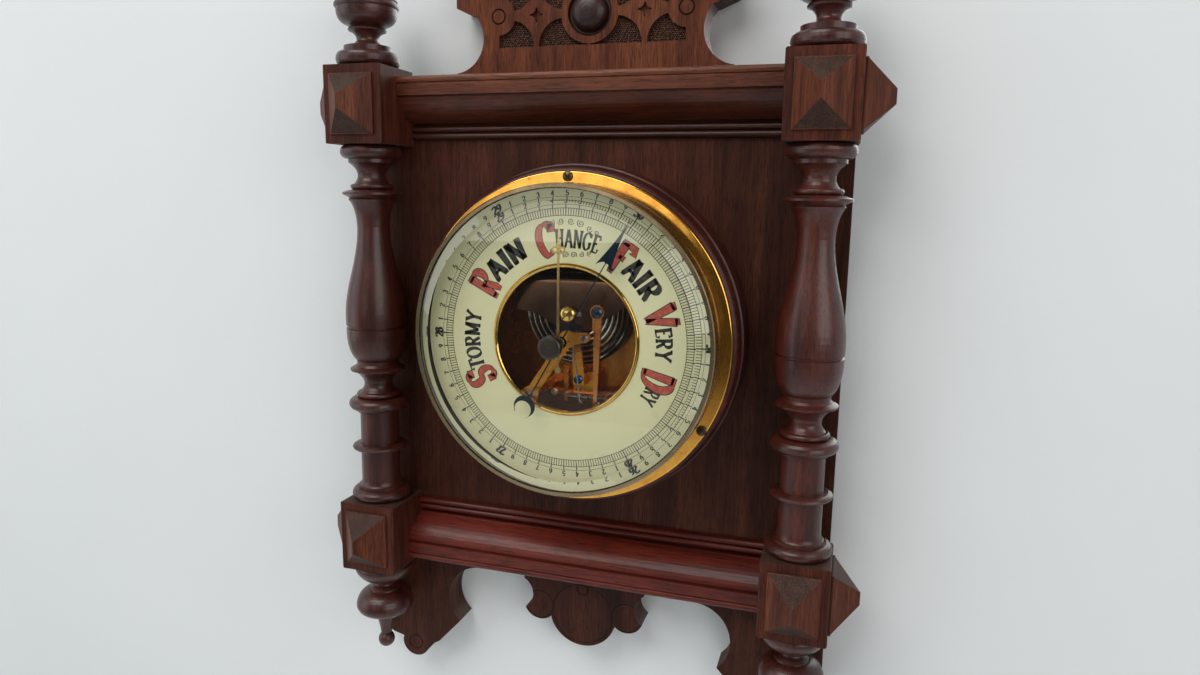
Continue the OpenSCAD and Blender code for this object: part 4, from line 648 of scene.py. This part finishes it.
def ringStrip(mesh, reach, half, steps=360):
    rows = [[mesh.verts.new(onDial(360 * i / steps, reach + side)) for side in (-half, half)]
            for i in range(steps)]
    for (a, b), (d, c) in zip(rows, rows[1:] + rows[:1]):
        mesh.faces.new((a, b, c, d))


def tick(mesh, angle, inner, outer, width):
    side = math.degrees(width / (inner + outer))
    corners = ((angle - side, inner), (angle - side, outer), (angle + side, outer), (angle + side, inner))
    mesh.faces.new([mesh.verts.new(onDial(a, r, dialPrint["tickRise"])) for a, r in corners])


def wordOnDial(mesh, text, middle, footAt, high, stretch, thin, thick, rise):
    along = -sum(strokesOf[c][0] for c in text) * high * stretch / 2
    for c in text:
        wide, strokes = strokesOf[c]

        def put(x, y, along=along):
            turn = (along + x * high * stretch) / (footAt + high / 2)
            return onDial(middle + math.degrees(turn), footAt + y * high, rise)
        for points in strokes:
            strokeMesh(mesh, points, put, thin / high, thick / high)
        along += wide * high * stretch


def printScale(black):
    d = dialPrint
    tenths, fiftieths = len(inchesClockwise) * 10, len(inchesClockwise) * 50
    for edge, line in (("bandIn", "bandLine"), ("bandOut", "bandLine"), ("outer", "outerLine")):
        ringStrip(black, d[edge], d[line])
    for i in range(fiftieths):
        if i % 5:                           # every fifth one is a tenth
            tick(black, i * d["inchTurn"] / 50, d["bandIn"], d["bandOut"], d["fiftiethWide"])
    for i in range(tenths):
        past, wide = (0, d["tenthWide"]) if (i + 5) % 10 else (d["inchPast"], d["inchWide"])
        tick(black, i * d["inchTurn"] / 10, d["bandIn"], d["outer"] + past, wide)
    for i in range(tenths):
        tenth = (i + 5) % 10
        if tenth:
            middle = i * d["inchTurn"] / 10
            wordOnDial(black, str(tenth), middle, d["numberFoot"], d["numberHigh"], **pens["number"])
    for k, inch in enumerate(inchesClockwise):
        middle = (k + 0.5) * d["inchTurn"]
        wordOnDial(black, str(inch), middle, d["inchFoot"], d["inchHigh"], **pens["inch"])


def printWords(black, red):
    d = dialPrint
    for text, middle, fills, high, weight in weatherWords:
        share = strokesOf[text[0]][0] * d["initialHigh"] * pens["initial"]["stretch"]
        rest = sum(strokesOf[c][0] for c in text[1:]) * high
        room = math.radians(fills) * d["wordMiddle"]
        stretch = min(d["mostStretch"], (room - share) / rest)
        first = middle - fills / 2 + math.degrees(share / 2 / (d["initialFoot"] + d["initialHigh"] / 2))
        for mesh, pen in ((black, "initial"), (red, "redInitial")):
            wordOnDial(mesh, text[0], first, d["initialFoot"], d["initialHigh"], **pens[pen])
        others = middle + fills / 2 - math.degrees(rest * stretch / 2 / d["wordMiddle"])
        wordOnDial(black, text[1:], others, d["wordMiddle"] - high / 2, high, stretch,
                   weight * d["thinShare"], weight, pens["number"]["rise"])


def printScrolls(black):
    p = scrollPen
    for angle, reach, size, turns, start, way in dialScrolls:
        curl = []
        for i in range(p["points"]):
            share = i / (p["points"] - 1)
            turn = math.radians(start + way * 360 * turns * share)
            out = size * (p["core"] + (1 - p["core"]) * share)
            curl.append((out * math.cos(turn), out * math.sin(turn)))

        def put(x, y, angle=angle, reach=reach):
            return onDial(angle + math.degrees(x / reach), reach + y, p["rise"])
        strokeMesh(black, curl, put, p["thin"], p["thick"])


def makeDialPrint():
    black, red = bmesh.new(), bmesh.new()
    printScale(black)
    printWords(black, red)
    printScrolls(black)
    for name, mesh, ink in (("dialScaleAndWords", black, blackInk), ("dialRedInitials", red, redInk)):
        piece = newPiece(name, mesh, ink)
        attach(piece, "case")


makeDialPrint()
print("barometer: dial printed")


# the blued pressure hand: a finer blade than the plain solid, hollow ground arrow, crescent tail

pressureHand = {
    "angle": 29.5,                          # clockwise from the top of the dial
    "front": 53.65, "thick": 0.45, "ease": 0.05, "easeSteps": 2, "reach": 66.3, "tail": 38.6,
    "bladeFrom": 2.6, "blade": 0.36, "waist": 0.24,  # half widths at the hub and at the arrow
    "arrow": 21.2, "arrowHalf": 4.2, "tipHalf": 0.12, "hollow": 1.45,
    "barbRoot": 0.5, "barbRise": 0.4, "barbDrop": 3.0, "barbCurve": 1.7,
    "barbPoints": (0.15, 0.35, 0.6, 0.8, 1.0), "arrowPoints": (0.12, 0.25, 0.4, 0.55, 0.7, 0.85, 1.0),
    "crescent": 5.6, "horns": (-52, 232), "innerHorns": (-46, 226), "innerShift": 0.34, "innerSize": 0.80,
    "crescentSteps": 40, "tailOverlap": 0.5,
    "hub": 3.0, "hubSteps": 48,
    "cap": ((2.2, 0.1), (2.0, 0.75), (1.2, 0.8)),  # radius, and height over the front
}


def handOutline():
    h = pressureHand
    head = h["reach"] - h["arrow"]
    right = [(h["blade"], h["bladeFrom"]), (h["waist"], head)]
    wide, drop = h["arrowHalf"] - h["barbRoot"], h["barbRise"] + h["barbDrop"]
    right += [(h["barbRoot"] + wide * t, head + h["barbRise"] - drop * t ** h["barbCurve"])
              for t in h["barbPoints"]]
    right += [(h["arrowHalf"] * (1 - t) ** h["hollow"] + h["tipHalf"] * t,
               head - h["barbDrop"] + (h["arrow"] + h["barbDrop"]) * t) for t in h["arrowPoints"]]
    return right + [(-x, y) for x, y in reversed(right)]


def handFace(mesh, outline, high):
    turn = -math.radians(pressureHand["angle"])
    made = []
    for x, y in outline:
        spun = (x * math.cos(turn) - y * math.sin(turn), x * math.sin(turn) + y * math.cos(turn))
        made.append(mesh.verts.new((spun[0] * mm, -high * mm, spun[1] * mm)))
    return made


def handSlab(mesh, outline):
    h = pressureHand
    low = handFace(mesh, outline, h["front"] - h["thick"])
    high = handFace(mesh, outline, h["front"])
    mesh.faces.new(low)
    mesh.faces.new(high[::-1])
    for i in range(len(outline)):
        k = (i + 1) % len(outline)
        mesh.faces.new((low[i], high[i], high[k], low[k]))


def handCrescent(mesh):
    h = pressureHand
    size, middle, steps = h["crescent"], -h["tail"], h["crescentSteps"]
    outer = oval(0, middle, size, size, *h["horns"], steps)
    inner = oval(0, middle - size * h["innerShift"], size * h["innerSize"], size * h["innerSize"],
                 *h["innerHorns"], steps)
    faces = (h["front"] - h["thick"], h["front"])
    rims = [handFace(mesh, line, high) for line in (outer, inner) for high in faces]
    outerLow, outerHigh, innerLow, innerHigh = rims
    around = (outerLow, outerHigh, innerHigh, innerLow)
    for one, two in zip(around, around[1:] + around[:1]):
        for i in range(steps):
            mesh.faces.new((one[i], one[i + 1], two[i + 1], two[i]))
    for i in (0, -1):
        mesh.faces.new([rim[i] for rim in around])


def handHub(mesh):
    h = pressureHand
    levels = [(h["hub"], -h["thick"]), (h["hub"], 0), *h["cap"]]
    rings = [handFace(mesh, oval(0, 0, radius, radius, 0, 360, h["hubSteps"])[:-1], h["front"] + high)
             for radius, high in levels]
    for below, above in zip(rings, rings[1:]):
        for i in range(h["hubSteps"]):
            k = (i + 1) % h["hubSteps"]
            mesh.faces.new((below[i], below[k], above[k], above[i]))
    mesh.faces.new(rings[0][::-1])
    mesh.faces.new(rings[-1])


def makePressureHand():
    h = pressureHand
    mesh = bmesh.new()
    handSlab(mesh, handOutline())
    low = h["tail"] - h["crescent"] + h["tailOverlap"]
    handSlab(mesh, [(h["blade"], -h["bladeFrom"]), (h["waist"], -low), (-h["waist"], -low),
                    (-h["blade"], -h["bladeFrom"])])
    handCrescent(mesh)
    handHub(mesh)
    bmesh.ops.recalc_face_normals(mesh, faces=mesh.faces)
    piece = newPiece("pressureHandBlued", mesh, handBlue)
    ease = piece.modifiers.new("ease", "BEVEL")
    ease.width, ease.segments, ease.limit_method = h["ease"] * mm, h["easeSteps"], "ANGLE"
    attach(piece, "hand")
    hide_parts("pressure_hand")


makePressureHand()
print("barometer: pressure hand ground and blued")


# the mainspring: a smooth-shaded copy with its corners joined stands for the node


def makeBendingSpring():
    piece = newPiece("mainspringLeaf", copyOfNode("mainspring"), springSteel)
    smoothShading(piece)
    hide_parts("mainspring")
    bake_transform(piece)


makeBendingSpring()


# softened edges: a copy of a wooden node with its sharp edges eased stands for the node

easedEdges = {                              # width of the easing
    "back_board": 0.4, "crest_board": 0.4, "apron_board": 0.45, "front_pyramids": 0.3, "side_pyramids": 0.3,
    "top_left_block": 0.2, "top_right_block": 0.2, "bottom_left_block": 0.2, "bottom_right_block": 0.2,
}
easing = {"sharperThan": 28, "segments": 2, "flatness": 100}


def easedCopy(name, width):
    piece = newPiece(name + "Eased", copyOfNode(name), finishOf[name], smooth=True)
    ease = piece.modifiers.new("ease", "BEVEL")
    ease.width, ease.segments = width * mm, easing["segments"]
    ease.limit_method, ease.angle_limit = "ANGLE", math.radians(easing["sharperThan"])
    ease.harden_normals = True
    flat = piece.modifiers.new("flat", "WEIGHTED_NORMAL")  # wide faces stay flat to the eye
    flat.mode, flat.weight = "FACE_AREA", easing["flatness"]
    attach(piece, "case")
    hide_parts(name)


for name, width in easedEdges.items():
    easedCopy(name, width)
print("barometer: edges eased")


# the sunk ground of the crest, matted all over with a small punch

crestGround = {
    "left": -48.8, "right": 48.8, "foot": 145.45, "head": 176.15,
    "well": (0, 160.8, 11.9),               # left bare for the boss: x, z, radius
    "floor": 13.03, "rise": 0.85,           # the lowest and the raised places, out from the wall
    "step": 0.26,                           # size of a face of the mesh
    "pitch": 1.12, "rowPitch": 0.9,         # punch marks along a row, and rows as a share of it
    "strayX": 0.16, "strayZ": 0.14, "depths": (0.75, 1.0), "punchHalf": (0.46, 0.40), "punchEdge": 3,
    # painted shade: tones run from the punch bottoms, darkest, to the raised places
    "tones": [(0.25, (0.0025, 0.0010, 0.0007)), (0.68, (0.011, 0.0034, 0.0020)),
              (0.98, (0.17, 0.060, 0.030))],
    "mottle": (500, 4, 0.6), "mottleStretch": (1, 1, 0.3), "pitShadeShare": 0.75, "mottleShare": 0.3,
    "roughRange": (0.3, 0.7, 0.5, 0.7), "shine": 0.25, "seed": 17,
}


def groundFinish():
    g = crestGround
    finish, tree, shader = startFinish("punchedGroundWood")
    out = axesOf(tree, placeFrom(tree))[1]
    # painted shade: the deeper a place, the darker
    depth = addRange(tree, out, -g["floor"] * mm, -(g["floor"] + g["rise"]) * mm, 0.0, 1.0)
    mottle = noiseAt(tree, placeFrom(tree, g["mottleStretch"]), *g["mottle"])
    level = addMaths(tree, "ADD", addMaths(tree, "MULTIPLY", depth, g["pitShadeShare"]),
                     addMaths(tree, "MULTIPLY", mottle, g["mottleShare"]))
    tree.links.new(addRamp(tree, level, g["tones"]), shader.inputs["Base Color"])
    tree.links.new(addRange(tree, mottle, *g["roughRange"]), shader.inputs["Roughness"])
    setSockets(shader, {"Specular IOR Level": g["shine"]})
    return finish


def makeCrestGround():
    g = crestGround
    chance = random.Random(g["seed"])
    pitch, rowPitch = g["pitch"], g["pitch"] * g["rowPitch"]
    halfX, halfZ = g["punchHalf"]
    marks = {}

    def markAt(i, j):                       # every other row is shifted by half a mark
        if (i, j) not in marks:
            x = g["left"] + (i + 0.5 * (j % 2)) * pitch + chance.uniform(-g["strayX"], g["strayX"])
            z = g["foot"] + j * rowPitch + chance.uniform(-g["strayZ"], g["strayZ"])
            marks[i, j] = (x, z, chance.uniform(*g["depths"]))
        return marks[i, j]

    def heightAt(x, z):
        j = round((z - g["foot"]) / rowPitch)
        i = round((x - g["left"]) / pitch)
        low = 1.0
        for dj in (-1, 0, 1):
            for di in (-1, 0, 1):
                markX, markZ, deep = markAt(i + di, j + dj)
                away = max(abs(x - markX) / halfX, abs(z - markZ) / halfZ)
                low = min(low, 1 - deep * max(0.0, 1 - away ** g["punchEdge"]))
        return low

    mesh = bmesh.new()
    across = int((g["right"] - g["left"]) / g["step"])
    upward = int((g["head"] - g["foot"]) / g["step"])
    rows = []
    for k in range(upward + 1):
        z = g["foot"] + (g["head"] - g["foot"]) * k / upward
        row = []
        for n in range(across + 1):
            x = g["left"] + (g["right"] - g["left"]) * n / across
            row.append(mesh.verts.new((x * mm, -(g["floor"] + g["rise"] * heightAt(x, z)) * mm, z * mm)))
        rows.append(row)
    wellX, wellZ, wellR = g["well"]
    for low, high in zip(rows, rows[1:]):
        for a, b, c, d in zip(low, low[1:], high[1:], high):
            if math.hypot(a.co.x / mm - wellX, a.co.z / mm - wellZ) > wellR:
                mesh.faces.new((a, b, c, d))
    loose = [v for v in mesh.verts if not v.link_faces]
    bmesh.ops.delete(mesh, geom=loose, context="VERTS")
    piece = newPiece("crestPunchedGround", mesh, groundFinish(), smooth=True)
    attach(piece, "case")


makeCrestGround()
print("barometer: crest ground punched")


# camera, wall and light

cameraSettings = {
    "place": (132.583, -420.719, 69.339), "left": 17.11, "down": 9.72, "roll": 0.85,
    "focal": 811.97, "photoWidth": 1200,    # both in pixels of the photograph
    "sensor": 36, "near": 0.01, "far": 20,
}


def makeCamera():
    c = cameraSettings
    yaw, pitch, roll = (math.radians(c[k]) for k in ("left", "down", "roll"))
    forward = Vector((-math.sin(yaw) * math.cos(pitch), math.cos(yaw) * math.cos(pitch), -math.sin(pitch)))
    level = Vector((math.cos(yaw), math.sin(yaw), 0))
    upright = level.cross(forward)
    right = level * math.cos(roll) + upright * math.sin(roll)
    up = upright * math.cos(roll) - level * math.sin(roll)
    data = bpy.data.cameras.new("photoCamera")
    data.sensor_width = c["sensor"]
    data.lens = c["focal"] / c["photoWidth"] * c["sensor"]
    data.clip_start, data.clip_end = c["near"], c["far"]
    camera = bpy.data.objects.new("photoCamera", data)
    turn = Matrix((right, up, -forward)).transposed().to_4x4()
    camera.matrix_world = Matrix.Translation(Vector(c["place"]) * mm) @ turn
    bpy.context.scene.collection.objects.link(camera)
    bpy.context.scene.camera = camera


wall = {
    "behind": 0.0006, "low": -0.9, "high": 2.4, "half": 3.0,  # metres
    "cloud": (3, 4), "tones": [(0.3, (0.725, 0.75, 0.76)), (0.7, (0.765, 0.79, 0.80))],
    "grain": (220, 3), "grainBump": 0.2, "grainDepth": 0.0003, "rough": 0.75,
}


def paleWall():
    w = wall
    finish, tree, shader = startFinish("paleWallPaint")
    cloud = noiseAt(tree, placeFrom(tree), *w["cloud"])
    tree.links.new(addRamp(tree, cloud, w["tones"]), shader.inputs["Base Color"])
    addBump(tree, shader, noiseAt(tree, placeFrom(tree), *w["grain"]), w["grainBump"], w["grainDepth"])
    setSockets(shader, {"Roughness": w["rough"]})
    clear = addNode(tree, "ShaderNodeBsdfTransparent")  # seen from behind, the wall isn't there
    side = addNode(tree, "ShaderNodeNewGeometry")
    choose = addNode(tree, "ShaderNodeMixShader")
    tree.links.new(side.outputs["Backfacing"], choose.inputs[0])
    tree.links.new(shader.outputs[0], choose.inputs[1])
    tree.links.new(clear.outputs[0], choose.inputs[2])
    tree.links.new(choose.outputs[0], tree.nodes["Material Output"].inputs["Surface"])
    return finish


def stagePlane(name, corners, finish):
    mesh = bmesh.new()
    mesh.faces.new([mesh.verts.new(corner) for corner in corners])
    newPiece(name, mesh, finish)


def makeStage():
    paint = paleWall()
    y, low, high, half = (wall[k] for k in ("behind", "low", "high", "half"))
    stagePlane("paleWall", [(-half, y, low), (half, y, low), (half, y, high), (-half, y, high)], paint)
    floor = [(-half, -half, low), (half, -half, low), (half, half, low), (-half, half, low)]
    stagePlane("paleFloor", floor, paint)


# each lamp is an area that looks at the dial: place and size in metres, power in watts
lamps = {
    "keyAbove": {"place": (-0.5, -1.1, 1.3), "size": (1.3, 1.0), "power": 20, "colour": (1.0, 0.985, 0.96),
                 "skips": "glass"},         # no hard window shape in the bevel
    "windowLeft": {"place": (-1.7, -0.9, 0.25), "size": (1.2, 1.6), "power": 8.6,
                   "colour": (0.90, 0.96, 1.0)},
    "fillRight": {"place": (1.3, -1.1, 0.45), "size": (1.3, 1.1), "power": 11, "colour": (1.0, 0.99, 0.97)},
    "cardFront": {"place": (-0.40, -1.25, 0.15), "size": (0.44, 0.34), "power": 0.6,
                  "colour": (1.0, 0.95, 0.86)},
    "cardLow": {"place": (-0.34, -1.2, -0.46), "size": (0.55, 0.3), "power": 0.1,
                "colour": (1.0, 0.95, 0.88)},
    "backFill": {"place": (0.3, 1.6, 0.6), "size": (1.6, 1.2), "power": 12, "colour": (1.0, 1.0, 1.0),
                 "passes": "paleWall"},     # it reaches the back through the wall
}
# the soft room round the lamps: dim towards the viewer, so that brass and varnish keep their depth
roomShades = [(0.0, (0.045, 0.042, 0.040)), (0.22, (0.11, 0.11, 0.11)), (0.5, (0.38, 0.40, 0.41)),
              (1.0, (0.5, 0.53, 0.55))]
roomSeen = (0.66, 0.685, 0.70)              # seen directly, the room is plain and pale


def allBut(piece):
    group = bpy.data.collections.new("without" + piece.name[0].upper() + piece.name[1:])
    group.objects.link(piece)
    group.collection_objects[0].light_linking.link_state = "EXCLUDE"
    return group


def makeLamps():
    for name, lamp in lamps.items():
        data = bpy.data.lights.new(name, "AREA")
        data.shape = "RECTANGLE"
        data.size, data.size_y = lamp["size"]
        data.energy, data.color = lamp["power"], lamp["colour"]
        piece = bpy.data.objects.new(name, data)
        piece.location = lamp["place"]
        piece.rotation_mode = "QUATERNION"
        piece.rotation_quaternion = (-Vector(lamp["place"])).to_track_quat("-Z", "Y")
        bpy.context.scene.collection.objects.link(piece)
        if "skips" in lamp:
            piece.light_linking.receiver_collection = allBut(cad[lamp["skips"]])
        if "passes" in lamp:
            piece.light_linking.blocker_collection = allBut(bpy.data.objects[lamp["passes"]])


def makeRoom():
    world = bpy.data.worlds.new("softRoom")
    world.use_nodes = True
    tree = world.node_tree
    where = addNode(tree, "ShaderNodeTexCoord").outputs["Generated"]
    room = addRamp(tree, addRange(tree, axesOf(tree, where)[1], -1, 1, 0, 1), roomShades)
    rays = addNode(tree, "ShaderNodeLightPath")
    shown = mixColours(tree, rays.outputs["Is Camera Ray"], room, roomSeen)
    tree.links.new(shown, tree.nodes["Background"].inputs["Color"])
    setSockets(tree.nodes["Background"], {"Strength": 1.0})
    bpy.context.scene.world = world
    bpy.context.scene.view_settings.view_transform = "Standard"


makeCamera()
makeStage()
makeLamps()
makeRoom()
print("barometer: camera, wall and lamps placed")

for name in finishOf:
    if name != "glass" and name not in easedEdges:
        smoothShading(cad[name])
